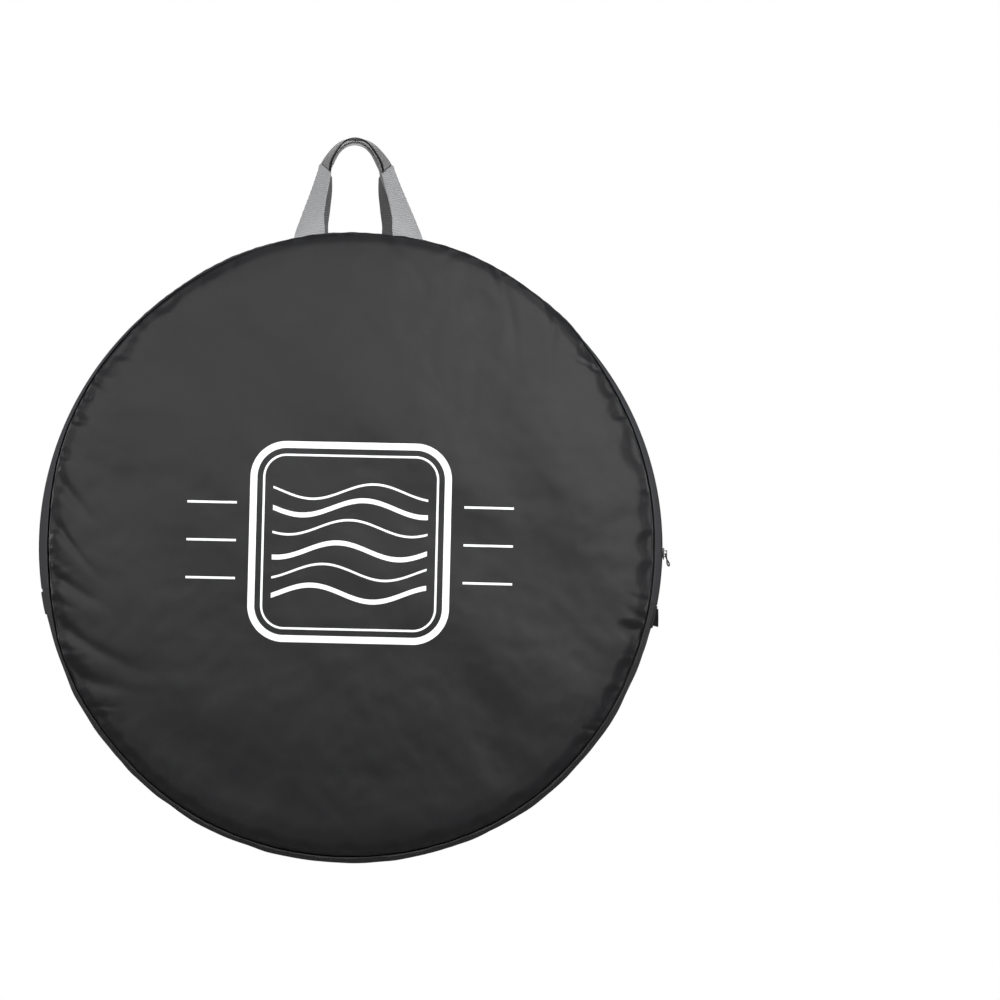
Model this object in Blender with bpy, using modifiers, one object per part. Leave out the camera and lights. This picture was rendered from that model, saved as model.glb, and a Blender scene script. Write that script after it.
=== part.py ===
"""Round padded bag for one bicycle wheel, hanging by its two webbing handles.

The bag stands upright, its printed front panel facing -Y and +Z up. The origin is the
underside of the grips, where a hand or a hook holds the bag. Most of the geometry is
worked out about the bag's own centre, on the axis that the round gusset turns about.
"""

import math

import bmesh
import bpy
from mathutils import Vector

# Overall sizes of the bag, in metres
BAG_DIAMETER = 0.760
GUSSET_WIDTH = 0.100
GUSSET_BULGE = 0.007
PANEL_CROWN = 0.018
PANEL_FLAT_RADIUS = 0.110

# Layers, counted from the outside in
SHELL = 0.0008
PANEL_FOAM = 0.005
GUSSET_FOAM = 0.004
LINING = 0.0006
GAP = 0.0003

# Zip: it runs over the top of the bag and ends a little below the middle on both sides
ZIP_END_ANGLE = math.radians(9.7)
ZIP_SLOT_WIDTH = 0.018
TAPE_WIDTH = 0.0152
TAPE_THICKNESS = 0.0006
COIL_SPLIT = 0.0016
COIL_WIDTH = 0.0024
COIL_HEIGHT = 0.0020

# Inside: bound seams, hub guards and the sewn ends of the straps
BINDING_HEIGHT = 0.010
BINDING_THICKNESS = 0.0032
FRONT_HUB_GUARD_RADIUS = 0.054
REAR_HUB_GUARD_RADIUS = 0.075
HUB_GUARD_THICKNESS = 0.0015
STRAP_END_LENGTH = 0.009

# Patches that cover the ends of the zip, and the folded tab on the right-hand one
PATCH_LENGTH = 0.026
PATCH_WIDTH = 0.036
PATCH_THICKNESS = 0.0010
TAB_LENGTH = 0.020
TAB_WIDTH = 0.022
TAB_THICKNESS = 0.0045

# Slider and its pull
SLIDER_LENGTH = 0.014
SLIDER_WIDTH = 0.011
SLIDER_PLATE = 0.0014
SLIDER_WEB_THICKNESS = 0.0008
SLIDER_WEB_LENGTH = 0.006
SLIDER_RAIL = 0.0010
RUNNING_CLEARANCE = 0.0004
CROWN_LENGTH = 0.0085
CROWN_WIDTH = 0.0024
CROWN_WALL = 0.0012
CROWN_HOLE = 0.0026
PULL_WIRE = 0.0018
PULL_LENGTH = 0.018
PULL_WIDTH = 0.0085
PULL_HANG = math.radians(75)

# Handles: flat webbing at the foot, folded in half lengthwise at the grip
WEBBING_WIDTH = 0.038
WEBBING_THICKNESS = 0.0020
GRIP_WIDTH = 0.020
HANDLE_FOOT_OFFSET = 0.061
HANDLE_ARCH_HALF_WIDTH = 0.037
HANDLE_ARCH_START = 0.092
HANDLE_LENGTH = 0.131
HANDLE_LEAN = math.radians(19.5)
REAR_HANDLE_EXTRA_LEAN = math.radians(2.0)
REAR_HANDLE_SHORTER = 0.0055
HANDLE_FOOT_CLEARANCE = 0.0020
HANDLE_FOOT_TURN = math.radians(52)

# How finely round pieces are divided
ARC_STEP = math.radians(7.5)
FULL_TURN_STEPS = 48

BAG_RADIUS = BAG_DIAMETER / 2
HALF_WIDTH = GUSSET_WIDTH / 2
SEAM_RADIUS = BAG_RADIUS - GUSSET_BULGE
ZIP_SLOT_HALF = ZIP_SLOT_WIDTH / 2
SHELL_INNER = SHELL
FOAM_OUTER = SHELL + GAP
PANEL_FOAM_INNER = FOAM_OUTER + PANEL_FOAM
GUSSET_FOAM_INNER = FOAM_OUTER + GUSSET_FOAM
TAPE_OUTER = SHELL + GAP
TAPE_INNER = TAPE_OUTER + TAPE_THICKNESS
TAPE_EDGE = COIL_SPLIT / 2
TAPE_REBATE = TAPE_EDGE + TAPE_WIDTH + GAP
COIL_FOOT = BAG_RADIUS - TAPE_OUTER + GAP
COIL_TOP = COIL_FOOT + COIL_HEIGHT
FACET_SAG = BAG_RADIUS * (1 - math.cos(ARC_STEP / 2))
FOLD_HEIGHT = -BAG_RADIUS * math.sin(ZIP_END_ANGLE)
FLAP_AXIS_Y = -(HALF_WIDTH + GAP / 2 + PANEL_CROWN)
HANDLE_FOOT_RADIUS = SEAM_RADIUS + HANDLE_FOOT_CLEARANCE
HANDLE_AXIS_Y = HALF_WIDTH + WEBBING_THICKNESS
HANDLE_AXIS_Z = math.sqrt(HANDLE_FOOT_RADIUS**2 - HANDLE_FOOT_OFFSET**2)
GRIP_THICKNESS = 2 * WEBBING_THICKNESS
REAR_LEAN = HANDLE_LEAN + REAR_HANDLE_EXTRA_LEAN
REAR_HANDLE_LENGTH = HANDLE_LENGTH - REAR_HANDLE_SHORTER
HANG_DROP = HANDLE_AXIS_Z + REAR_HANDLE_LENGTH * math.cos(REAR_LEAN) - GRIP_THICKNESS / 2
BAG_CENTRE = Vector((0, 0, -HANG_DROP))


def make_collection(name):
    collection = bpy.data.collections.new(name)
    bpy.context.scene.collection.children.link(collection)
    return collection


def make_material(name, colour, roughness, metallic=0.0):
    material = bpy.data.materials.new(name)
    material.use_nodes = True
    shader = material.node_tree.nodes["Principled BSDF"]
    shader.inputs["Base Color"].default_value = (*colour, 1)
    shader.inputs["Roughness"].default_value = roughness
    shader.inputs["Metallic"].default_value = metallic
    return material


def make_axis(name, place, parent=None):
    """An empty on a joint's axis, given about the bag's centre."""
    empty = bpy.data.objects.new(name, None)
    empty.location = BAG_CENTRE + Vector(place)
    parts.objects.link(empty)
    if parent:
        empty.parent = parent
        empty.matrix_parent_inverse = parent_inverse(parent)
    return empty


def parent_inverse(empty):
    bpy.context.view_layer.update()
    return empty.matrix_world.inverted()


def add_object(name, mesh, material, body, smooth=True):
    """Put a mesh drawn about the bag's centre into the model, carried by its body's empty."""
    obj = bpy.data.objects.new(name, mesh)
    parts.objects.link(obj)
    obj.location = BAG_CENTRE
    obj.parent = body
    obj.matrix_parent_inverse = parent_inverse(body)
    mesh.materials.append(material)
    if smooth:
        mesh.shade_smooth()
        mesh.set_sharp_from_angle(angle=math.radians(35))
    return obj


def mesh_from(bm, name):
    bmesh.ops.recalc_face_normals(bm, faces=bm.faces)
    mesh = bpy.data.meshes.new(name)
    bm.to_mesh(mesh)
    bm.free()
    return mesh


def spread(first, last, count):
    return [first + (last - first) * i / (count - 1) for i in range(count)]


# Sections, as (y, radius) pairs


def gusset_radius(y, depth=0.0):
    """Radius of the softly bulging gusset at a place across its width."""
    return BAG_RADIUS - GUSSET_BULGE * (y / HALF_WIDTH) ** 2 - depth


def gusset_layer(y_from, y_to, outer, inner, count):
    """Section of one layer of the gusset between two depths under its outer face."""
    across = spread(y_from, y_to, count)
    top = [(y, gusset_radius(y, outer)) for y in across]
    bottom = [(y, gusset_radius(y, inner)) for y in reversed(across)]
    return top + bottom


def band_foam_section(side):
    """Foam of one half of the zip gusset, cut back under the zip tape."""
    rebate = TAPE_INNER + GAP
    slot_edge = ZIP_SLOT_HALF
    rim = HALF_WIDTH - GAP / 2
    outer = [(slot_edge, rebate), (TAPE_REBATE, rebate)]
    outer += [(y, FOAM_OUTER) for y in spread(TAPE_REBATE, rim, 3)]
    inner = [(y, GUSSET_FOAM_INNER) for y in spread(rim, slot_edge, 3)]
    return [(side * y, gusset_radius(y, depth)) for y, depth in outer + inner]


def band_section(side, y_from, y_to, outer, inner, count):
    return [(side * y, r) for y, r in gusset_layer(y_from, y_to, outer, inner, count)]


def plain_section(y_from, y_to, r_from, r_to):
    return [(y_from, r_from), (y_to, r_from), (y_to, r_to), (y_from, r_to)]


def arc(name, section, start, end, material, body):
    """Sweep a closed section about the bag's axis, from one angle to another."""
    bm = bmesh.new()
    points = [(r * math.cos(start), y, r * math.sin(start)) for y, r in section]
    face = bm.faces.new([bm.verts.new(p) for p in points])
    bmesh.ops.spin(
        bm,
        geom=[*bm.verts, *bm.edges, face],
        cent=(0, 0, 0),
        axis=(0, -1, 0),
        angle=end - start,
        steps=max(1, round((end - start) / ARC_STEP)),
    )
    return add_object(name, mesh_from(bm, name), material, body)


def turned(name, profile, material, body, closed):
    """Turn a profile of (radius, y) pairs once round the bag's axis with a Screw modifier."""
    bm = bmesh.new()
    verts = [bm.verts.new((r, y, 0)) for r, y in profile]
    for a, b in zip(verts, verts[1:]):
        bm.edges.new((a, b))
    if closed:
        bm.edges.new((verts[-1], verts[0]))
    mesh = bpy.data.meshes.new(name)
    bm.to_mesh(mesh)
    bm.free()
    obj = add_object(name, mesh, material, body)
    screw = obj.modifiers.new("turn", "SCREW")
    screw.axis = "Y"
    screw.steps = FULL_TURN_STEPS
    screw.render_steps = FULL_TURN_STEPS
    screw.use_merge_vertices = True
    screw.merge_threshold = 0.0001
    screw.use_smooth_shade = True
    return obj


def panel_depth(r, rim_radius, crown):
    """How far a padded panel stands past its seam: flat in the middle, round at the rim."""
    run = max(0.0, (r - PANEL_FLAT_RADIUS) / (rim_radius - PANEL_FLAT_RADIUS))
    return crown * max(0.0, 1 - run**3) ** 0.6


def panel_profile(side, outer, inner, runs):
    """Profile of one layer of a panel, from the axis over the rim and back to the axis."""

    def surface(depth):
        rim_radius = SEAM_RADIUS - depth
        crown = PANEL_CROWN - depth
        radii = [0.0] + [PANEL_FLAT_RADIUS + (rim_radius - PANEL_FLAT_RADIUS) * t for t in runs]
        seam = HALF_WIDTH + GAP / 2
        return [(r, side * (seam + panel_depth(r, rim_radius, crown))) for r in radii]

    return surface(outer) + surface(inner)[::-1]


PADDED_RUNS = (0.0, 0.5, 0.8, 0.95, 1.0)
LINING_RUNS = (0.0, 0.5, 0.8, 1.0)


def panel_layer(name, side, outer, inner, runs, material, body):
    profile = panel_profile(side, outer, inner, runs)
    if side < 0:
        profile.reverse()
    return turned(name, profile, material, body, closed=False)


def cut_to(obj, cutter):
    boolean = obj.modifiers.new("part of the panel", "BOOLEAN")
    boolean.operation = "INTERSECT"
    boolean.solver = "EXACT"
    boolean.object = cutter


def fold_cutter(name, z_from, z_to):
    """A block that keeps what lies above or below the front panel's fold line."""
    bm = bmesh.new()
    bmesh.ops.create_cube(bm, size=1)
    size = Vector((1.2 * BAG_DIAMETER, 2 * GUSSET_WIDTH, z_to - z_from))
    bmesh.ops.scale(bm, vec=size, verts=bm.verts)
    cutter = bpy.data.objects.new(name, mesh_from(bm, name))
    cutters.objects.link(cutter)
    cutter.location = BAG_CENTRE + Vector((0, -GUSSET_WIDTH, (z_from + z_to) / 2))
    cutter.display_type = "WIRE"
    cutter.hide_render = True
    return cutter


def block(centre, size):
    """A box as its own small mesh, for joining into a larger piece."""
    bm = bmesh.new()
    bmesh.ops.create_cube(bm, size=1)
    bmesh.ops.scale(bm, vec=Vector(size), verts=bm.verts)
    bmesh.ops.translate(bm, vec=Vector(centre), verts=bm.verts)
    return bm


def cutter_block(name, centre, size):
    cutter = bpy.data.objects.new(name, mesh_from(block(centre, size), name))
    cutters.objects.link(cutter)
    cutter.location = BAG_CENTRE
    cutter.display_type = "WIRE"
    cutter.hide_render = True
    return cutter


# Layers of the panels and of the gusset


def make_panel(prefix, side, body, keep=None):
    """Shell, foam and lining of one panel, or of the part of it that a cutter keeps."""
    layers = (
        ("shell", 0.0, SHELL_INNER, PADDED_RUNS, nylon),
        ("foam", FOAM_OUTER, PANEL_FOAM_INNER, PADDED_RUNS, foam),
        ("lining", PANEL_FOAM_INNER + GAP, PANEL_FOAM_INNER + GAP + LINING, LINING_RUNS, lining),
    )
    for layer, outer, inner, runs, material in layers:
        obj = panel_layer(f"{prefix}_{layer}", side, outer, inner, runs, material, body)
        if keep:
            cut_to(obj, keep)


def make_zip_band(prefix, side, body):
    """One half of the zip gusset: shell, foam, lining, zip tape and coil."""
    start, end = -ZIP_END_ANGLE, math.pi + ZIP_END_ANGLE
    rim = HALF_WIDTH - GAP / 2
    lining_top = GUSSET_FOAM_INNER + GAP
    shell = band_section(side, ZIP_SLOT_HALF, rim, 0.0, SHELL_INNER, 4)
    inner = band_section(side, ZIP_SLOT_HALF, rim, lining_top, lining_top + LINING, 3)
    tape = band_section(side, TAPE_EDGE, TAPE_EDGE + TAPE_WIDTH, TAPE_OUTER, TAPE_INNER, 2)
    coil_middle = TAPE_EDGE + COIL_WIDTH / 2
    coil = [
        (side * (coil_middle + dy * COIL_WIDTH / 2), COIL_FOOT + rise * COIL_HEIGHT)
        for dy, rise in ((-1, 0), (-1, 0.65), (-0.45, 1), (0.45, 1), (1, 0.65), (1, 0))
    ]
    arc(f"{prefix}_band_shell", shell, start, end, nylon, body)
    arc(f"{prefix}_band_foam", band_foam_section(side), start, end, foam, body)
    arc(f"{prefix}_band_lining", inner, start, end, lining, body)
    arc(f"{prefix}_zip_tape", tape, start, end, tape_cloth, body)
    arc(f"{prefix}_zip_coil", coil, start, end, coil_plastic, body)


def make_base_gusset(body):
    """The full-width strip that joins the two panels below the ends of the zip."""
    start = math.pi + ZIP_END_ANGLE + GAP / SEAM_RADIUS
    end = 2 * math.pi - ZIP_END_ANGLE - GAP / SEAM_RADIUS
    rim = HALF_WIDTH - GAP / 2
    lining_top = GUSSET_FOAM_INNER + GAP
    layers = (
        ("shell", 0.0, SHELL_INNER, 6, base_cloth),
        ("foam", FOAM_OUTER, GUSSET_FOAM_INNER, 6, foam),
        ("lining", lining_top, lining_top + LINING, 4, lining),
    )
    for layer, outer, inner, count, material in layers:
        section = gusset_layer(-rim, rim, outer, inner, count)
        arc(f"base_gusset_{layer}", section, start, end, material, body)


def binding_section(side):
    """Tape folded over the seam allowance, which points at the bag's centre."""
    y_outer = HALF_WIDTH - GAP
    top = gusset_radius(HALF_WIDTH, GUSSET_FOAM_INNER + 2 * GAP + LINING) - FACET_SAG
    section = plain_section(y_outer - BINDING_THICKNESS, y_outer, top - BINDING_HEIGHT, top)
    return [(side * y, r) for y, r in section]


def make_bindings():
    gap_angle = GAP / SEAM_RADIUS
    upper = (-ZIP_END_ANGLE, math.pi + ZIP_END_ANGLE)
    lower = (math.pi + ZIP_END_ANGLE + gap_angle, 2 * math.pi - ZIP_END_ANGLE - gap_angle)
    arc("front_upper_binding", binding_section(-1), *upper, binding_tape, flap_axis)
    arc("front_lower_binding", binding_section(-1), *lower, binding_tape, bag_root)
    ring = [(r, y) for y, r in binding_section(1)]
    turned("rear_binding", ring, binding_tape, bag_root, closed=True)


def make_hub_guard(name, side, radius, height, body):
    """Stiff round patch on the lining that keeps the wheel's axle off the padding."""
    lining_face = HALF_WIDTH + GAP / 2 + PANEL_CROWN - PANEL_FOAM_INNER - GAP - LINING
    far = lining_face - GAP
    near = far - HUB_GUARD_THICKNESS
    bm = bmesh.new()
    bmesh.ops.create_cone(
        bm,
        cap_ends=True,
        segments=32,
        radius1=radius,
        radius2=radius,
        depth=HUB_GUARD_THICKNESS,
    )
    turn = Vector((0, 0, 1)).rotation_difference(Vector((0, 1, 0))).to_matrix()
    bmesh.ops.rotate(bm, cent=(0, 0, 0), matrix=turn, verts=bm.verts)
    bmesh.ops.translate(bm, vec=Vector((0, side * (near + far) / 2, height)), verts=bm.verts)
    add_object(name, mesh_from(bm, name), guard_plastic, body)


def make_zip_end(name, middle_angle):
    """Patch sewn over the end of the zip, on the base gusset."""
    half = PATCH_LENGTH / 2 / BAG_RADIUS
    section = gusset_layer(-PATCH_WIDTH / 2, PATCH_WIDTH / 2, -GAP - PATCH_THICKNESS, -GAP, 5)
    arc(name, section, middle_angle - half, middle_angle + half, base_cloth, bag_root)


def make_tab(middle_angle):
    """Short piece of webbing folded flat on the right-hand patch, to hold while zipping."""
    half = TAB_LENGTH / 2 / BAG_RADIUS
    foot = BAG_RADIUS + 2 * GAP + PATCH_THICKNESS
    top = foot + TAB_THICKNESS
    edge = TAB_WIDTH / 2
    chamfer = TAB_THICKNESS / 4
    section = [
        (-edge, foot),
        (-edge, top - chamfer),
        (chamfer - edge, top),
        (edge - chamfer, top),
        (edge, top - chamfer),
        (edge, foot),
    ]
    start, end = middle_angle - half, middle_angle + half
    arc("zip_end_tab", section, start, end, dark_webbing, bag_root)


def make_strap_ends(prefix, side, body):
    """The ends of a handle's webbing, sewn inside against the bound seam."""
    inner_face = HALF_WIDTH - 2 * GAP - BINDING_THICKNESS
    top = gusset_radius(HALF_WIDTH, GUSSET_FOAM_INNER + 2 * GAP + LINING) - 2 * FACET_SAG
    section = plain_section(
        side * (inner_face - WEBBING_THICKNESS), side * inner_face, top - STRAP_END_LENGTH, top
    )
    half = WEBBING_WIDTH / 2 / SEAM_RADIUS
    lean = math.asin(HANDLE_FOOT_OFFSET / SEAM_RADIUS)
    for hand, angle in (("right", math.pi / 2 - lean), ("left", math.pi / 2 + lean)):
        arc(f"{prefix}_strap_end_{hand}", section, angle - half, angle + half, webbing, body)


# Handles


def handle_station(t, length):
    """Place and frame of the webbing along one leg, from 0 at the foot to 1 at the top.

    Returns the offset from the middle, the height along the handle's own plane, the
    direction along the webbing, how far the webbing has turned edge-on and how far
    it has folded shut.
    """
    leg_share = 0.55
    arch_rise = length - HANDLE_ARCH_START
    if t < leg_share:
        s = t / leg_share
        offset = HANDLE_FOOT_OFFSET + (HANDLE_ARCH_HALF_WIDTH - HANDLE_FOOT_OFFSET) * s
        height = HANDLE_ARCH_START * s
        along = Vector((HANDLE_ARCH_HALF_WIDTH - HANDLE_FOOT_OFFSET, HANDLE_ARCH_START))
        turn = HANDLE_FOOT_TURN * s**1.5
        folded = s
    else:
        s = (t - leg_share) / (1 - leg_share)
        angle = s * math.pi / 2
        offset = HANDLE_ARCH_HALF_WIDTH * math.cos(angle)
        height = HANDLE_ARCH_START + arch_rise * math.sin(angle)
        along = Vector(
            (-HANDLE_ARCH_HALF_WIDTH * math.sin(angle), arch_rise * math.cos(angle))
        )
        turn = HANDLE_FOOT_TURN + (math.pi / 2 - HANDLE_FOOT_TURN) * s
        folded = 1.0
    return offset, height, along.normalized(), turn, folded


def handle_section(t, hand, side, length, lean):
    """Four corners of the webbing at a station, about the bag's centre."""
    offset, height, along, turn, folded = handle_station(t, length)
    up = Vector((0, -side * math.sin(lean), math.cos(lean)))
    back = Vector((0, -side * math.cos(lean), -math.sin(lean)))
    sideways = Vector((hand, 0, 0))
    centre = Vector((0, side * HANDLE_AXIS_Y, HANDLE_AXIS_Z)) + sideways * offset + up * height
    outward = sideways * along.y - up * along.x
    seam_lean = math.asin(HANDLE_FOOT_OFFSET / SEAM_RADIUS)
    foot_outward = sideways * math.cos(seam_lean) - up * math.sin(seam_lean)
    outward = (foot_outward * (1 - folded) + outward * folded).normalized()
    across = outward * math.cos(turn) + back * math.sin(turn)
    forward = (sideways * along.x + up * along.y).normalized()
    normal = across.cross(forward).normalized()
    width = WEBBING_WIDTH + (GRIP_WIDTH - WEBBING_WIDTH) * folded
    thickness = WEBBING_THICKNESS + (GRIP_THICKNESS - WEBBING_THICKNESS) * folded
    corners = ((-1, -1), (1, -1), (1, 1), (-1, 1))
    return [
        centre + across * (a * width / 2) + normal * (hand * b * thickness / 2)
        for a, b in corners
    ]


def make_handle(name, side, length, lean, body):
    """A strip of webbing lofted foot to foot, which changes its section on the way."""
    leg = [handle_section(t, -1, side, length, lean) for t in spread(0, 1, 10)]
    other = [handle_section(t, 1, side, length, lean) for t in spread(0, 1, 10)]
    sections = leg + other[-2::-1]
    bm = bmesh.new()
    rings = [[bm.verts.new(p) for p in section] for section in sections]
    for ring, following in zip(rings, rings[1:]):
        for i in range(4):
            j = (i + 1) % 4
            bm.faces.new((ring[i], ring[j], following[j], following[i]))
    bm.faces.new(rings[0])
    bm.faces.new(rings[-1])
    add_object(name, mesh_from(bm, name), webbing, body)


# Slider and pull


def make_slider(body):
    """Two plates joined by a web between the coils, a rear rail and a crown for the pull."""
    plate_bottom = COIL_TOP + RUNNING_CLEARANCE
    plate_top = plate_bottom + SLIDER_PLATE
    under_top = BAG_RADIUS - TAPE_INNER - FACET_SAG - RUNNING_CLEARANCE
    under_bottom = under_top - SLIDER_PLATE
    rail_y = TAPE_EDGE + COIL_WIDTH + RUNNING_CLEARANCE + SLIDER_RAIL / 2
    rail_bottom = COIL_FOOT
    crown_height = CROWN_HOLE + CROWN_WALL
    sink = SLIDER_PLATE / 2

    def upright(low, high, y, width, z, length):
        return ((low + high) / 2, y, z), (high - low, width, length)

    pieces = (
        upright(plate_bottom, plate_top, 0, SLIDER_WIDTH, 0, SLIDER_LENGTH),
        upright(under_bottom, under_top, 0, SLIDER_WIDTH, 0, SLIDER_LENGTH),
        upright(
            under_top - sink,
            plate_bottom + sink,
            0,
            SLIDER_WEB_THICKNESS,
            (SLIDER_LENGTH - SLIDER_WEB_LENGTH) / 2 - sink,
            SLIDER_WEB_LENGTH,
        ),
        upright(rail_bottom, plate_bottom + sink, rail_y, SLIDER_RAIL, 0, SLIDER_LENGTH - sink),
        upright(plate_top - sink, plate_top + crown_height, 0, CROWN_WIDTH, 0, CROWN_LENGTH),
    )
    names = ("outer plate", "under plate", "web", "rail", "crown")
    body_mesh = mesh_from(block(*pieces[0]), "slider_body")
    slider = add_object("slider_body", body_mesh, slider_metal, body, smooth=False)
    for name, piece in zip(names[1:], pieces[1:]):
        union = slider.modifiers.new(name, "BOOLEAN")
        union.operation = "UNION"
        union.solver = "EXACT"
        union.object = cutter_block(f"slider {name}", *piece)
    hole = slider.modifiers.new("crown hole", "BOOLEAN")
    hole.operation = "DIFFERENCE"
    hole.solver = "EXACT"
    hole.object = cutter_block(
        "slider crown hole",
        (plate_top + CROWN_HOLE / 2, 0, 0),
        (CROWN_HOLE, SLIDER_WIDTH, CROWN_LENGTH - 2 * CROWN_WALL),
    )


def pull_pivot():
    """Where the pull turns: the middle of the crown's hole."""
    return COIL_TOP + RUNNING_CLEARANCE + SLIDER_PLATE + CROWN_HOLE / 2


def make_pull(body):
    """A stadium-shaped loop of coated wire through the crown, hanging down and outward."""
    half = PULL_WIDTH / 2 - PULL_WIRE / 2
    reach = PULL_LENGTH - half
    outward = Vector((math.cos(PULL_HANG), 0, -math.sin(PULL_HANG)))
    across = Vector((0, 1, 0))
    pivot = Vector((pull_pivot(), 0, 0))
    route = [pivot + across * half, pivot + across * half + outward * reach]
    for angle in spread(0, math.pi, 7)[1:]:
        bend = outward * (reach + half * math.sin(angle)) + across * (half * math.cos(angle))
        route.append(pivot + bend)
    route.append(pivot - across * half)
    curve = bpy.data.curves.new("pull_loop", "CURVE")
    curve.dimensions = "3D"
    curve.bevel_depth = PULL_WIRE / 2
    curve.bevel_resolution = 1
    spline = curve.splines.new("POLY")
    spline.points.add(len(route) - 1)
    spline.use_cyclic_u = True
    for point, place in zip(spline.points, route):
        point.co = (*place, 1)
    guide = bpy.data.objects.new("pull guide", curve)
    parts.objects.link(guide)
    bpy.context.view_layer.update()
    mesh = bpy.data.meshes.new_from_object(guide.evaluated_get(bpy.context.evaluated_depsgraph_get()))
    bpy.data.objects.remove(guide)
    mesh.materials.clear()
    add_object("pull_loop", mesh, pull_cord, body)


for old in list(bpy.data.objects):
    bpy.data.objects.remove(old)

parts = make_collection("wheel_bag")
cutters = make_collection("cutters")

nylon = make_material("dark nylon", (0.055, 0.056, 0.060), 0.5)
base_cloth = make_material("woven base strip", (0.045, 0.045, 0.048), 0.75)
foam = make_material("grey foam", (0.30, 0.30, 0.31), 0.9)
lining = make_material("black lining", (0.030, 0.030, 0.033), 0.6)
tape_cloth = make_material("zip tape", (0.020, 0.020, 0.022), 0.8)
coil_plastic = make_material("zip coil", (0.015, 0.015, 0.016), 0.4)
binding_tape = make_material("seam binding", (0.025, 0.025, 0.027), 0.85)
guard_plastic = make_material("hub guard", (0.040, 0.040, 0.042), 0.55)
webbing = make_material("grey webbing", (0.32, 0.32, 0.34), 0.8)
dark_webbing = make_material("black webbing", (0.020, 0.020, 0.021), 0.85)
slider_metal = make_material("black slider", (0.020, 0.020, 0.021), 0.35, 0.8)
pull_cord = make_material("pull loop", (0.018, 0.018, 0.020), 0.5)

bag_root = make_axis("bag_root", (0, 0, 0))
flap_axis = make_axis("flap_axis", (0, FLAP_AXIS_Y, FOLD_HEIGHT), bag_root)
zip_axis = make_axis("zip_axis", (0, 0, 0), bag_root)
pull_axis = make_axis("pull_axis", (pull_pivot(), 0, 0), zip_axis)
front_handle_axis = make_axis("front_handle_axis", (0, -HANDLE_AXIS_Y, HANDLE_AXIS_Z), flap_axis)
rear_handle_axis = make_axis("rear_handle_axis", (0, HANDLE_AXIS_Y, HANDLE_AXIS_Z), bag_root)

above_fold = fold_cutter("above the fold", FOLD_HEIGHT + GAP / 2, BAG_DIAMETER)
below_fold = fold_cutter("below the fold", -BAG_DIAMETER, FOLD_HEIGHT - GAP / 2)

make_panel("rear_panel", 1, bag_root)
make_panel("front_upper", -1, flap_axis, above_fold)
make_panel("front_lower", -1, bag_root, below_fold)
make_zip_band("rear", 1, bag_root)
make_zip_band("front", -1, flap_axis)
make_base_gusset(bag_root)
make_bindings()
make_hub_guard("front_hub_guard", -1, FRONT_HUB_GUARD_RADIUS, 0, flap_axis)
make_hub_guard("rear_hub_guard", 1, REAR_HUB_GUARD_RADIUS, 0, bag_root)

patch_angle = ZIP_END_ANGLE + PATCH_LENGTH / 2 / BAG_RADIUS + 3 * GAP / BAG_RADIUS
make_zip_end("zip_end_patch_right", -patch_angle)
make_zip_end("zip_end_patch_left", math.pi + patch_angle)
make_tab(-patch_angle)
make_strap_ends("front", -1, flap_axis)
make_strap_ends("rear", 1, bag_root)

make_handle("front_handle", -1, HANDLE_LENGTH, HANDLE_LEAN, front_handle_axis)
make_handle("rear_handle", 1, REAR_HANDLE_LENGTH, REAR_LEAN, rear_handle_axis)
make_slider(zip_axis)
make_pull(pull_axis)
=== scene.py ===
"""Looks of the round padded wheel bag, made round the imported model, in metres."""
import math
import random
from typing import NamedTuple

import bpy
import numpy as np
from mathutils import Matrix, Vector, noise
from mathutils.bvhtree import BVHTree


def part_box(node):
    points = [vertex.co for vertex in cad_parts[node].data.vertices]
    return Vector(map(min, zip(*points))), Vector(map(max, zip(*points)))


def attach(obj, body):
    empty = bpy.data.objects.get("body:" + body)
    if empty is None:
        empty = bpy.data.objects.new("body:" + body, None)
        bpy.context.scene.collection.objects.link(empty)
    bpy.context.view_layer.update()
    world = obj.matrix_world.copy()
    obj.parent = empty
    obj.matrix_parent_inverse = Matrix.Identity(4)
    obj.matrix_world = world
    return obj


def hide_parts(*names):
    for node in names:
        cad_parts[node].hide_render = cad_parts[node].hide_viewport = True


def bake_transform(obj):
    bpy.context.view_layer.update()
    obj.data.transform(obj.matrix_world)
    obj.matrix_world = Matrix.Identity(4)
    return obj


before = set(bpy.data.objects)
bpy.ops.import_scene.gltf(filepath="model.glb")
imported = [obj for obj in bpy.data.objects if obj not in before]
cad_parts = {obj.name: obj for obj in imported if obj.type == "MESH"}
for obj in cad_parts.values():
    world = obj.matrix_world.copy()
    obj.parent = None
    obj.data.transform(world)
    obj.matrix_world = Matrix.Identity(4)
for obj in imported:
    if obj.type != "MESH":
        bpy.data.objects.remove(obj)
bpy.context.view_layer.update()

# Sizes of the bag, the same as in the solids
panel_low, panel_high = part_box("rear_panel_shell")
CENTRE = Vector((0, 0, (panel_low[2] + panel_high[2]) / 2))
BAG_RADIUS, BULGE = 0.380, 0.0072
HALF_WIDTH, SEAM_STEP = 0.050, 0.00015
PANEL_LEVEL = HALF_WIDTH + SEAM_STEP
CROWN, CROWN_RIM, FLAT_RADIUS, FACE_RADIUS = 0.018, 0.3715, 0.110, 0.3665
LIP_EDGE, PADDING = 0.0475, 0.0051
ZIP_END = math.radians(9.7)
ZIP_SPAN = (-ZIP_END, math.pi + ZIP_END)
BASE_SPAN = (math.pi + ZIP_END + 0.001, 2 * math.pi - ZIP_END - 0.001)

# The two sides of the bag: name, sign of Y and body, which is none where the cloth crosses
# the fold of the front panel
SIDES = (("front", -1, None), ("rear", 1, "bag_body"))

# The photograph's frame: where the bag's middle and size fall in it, and how it is tilted
IMAGE_SIZE = 1000
BAG_IN_IMAGE = (350.75, 546.6)
RADIUS_IN_IMAGE = 311.0
LENS, SENSOR = 250, 36
LOOK_UP = math.radians(4.4)
ROLL = math.radians(1.3)

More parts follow.
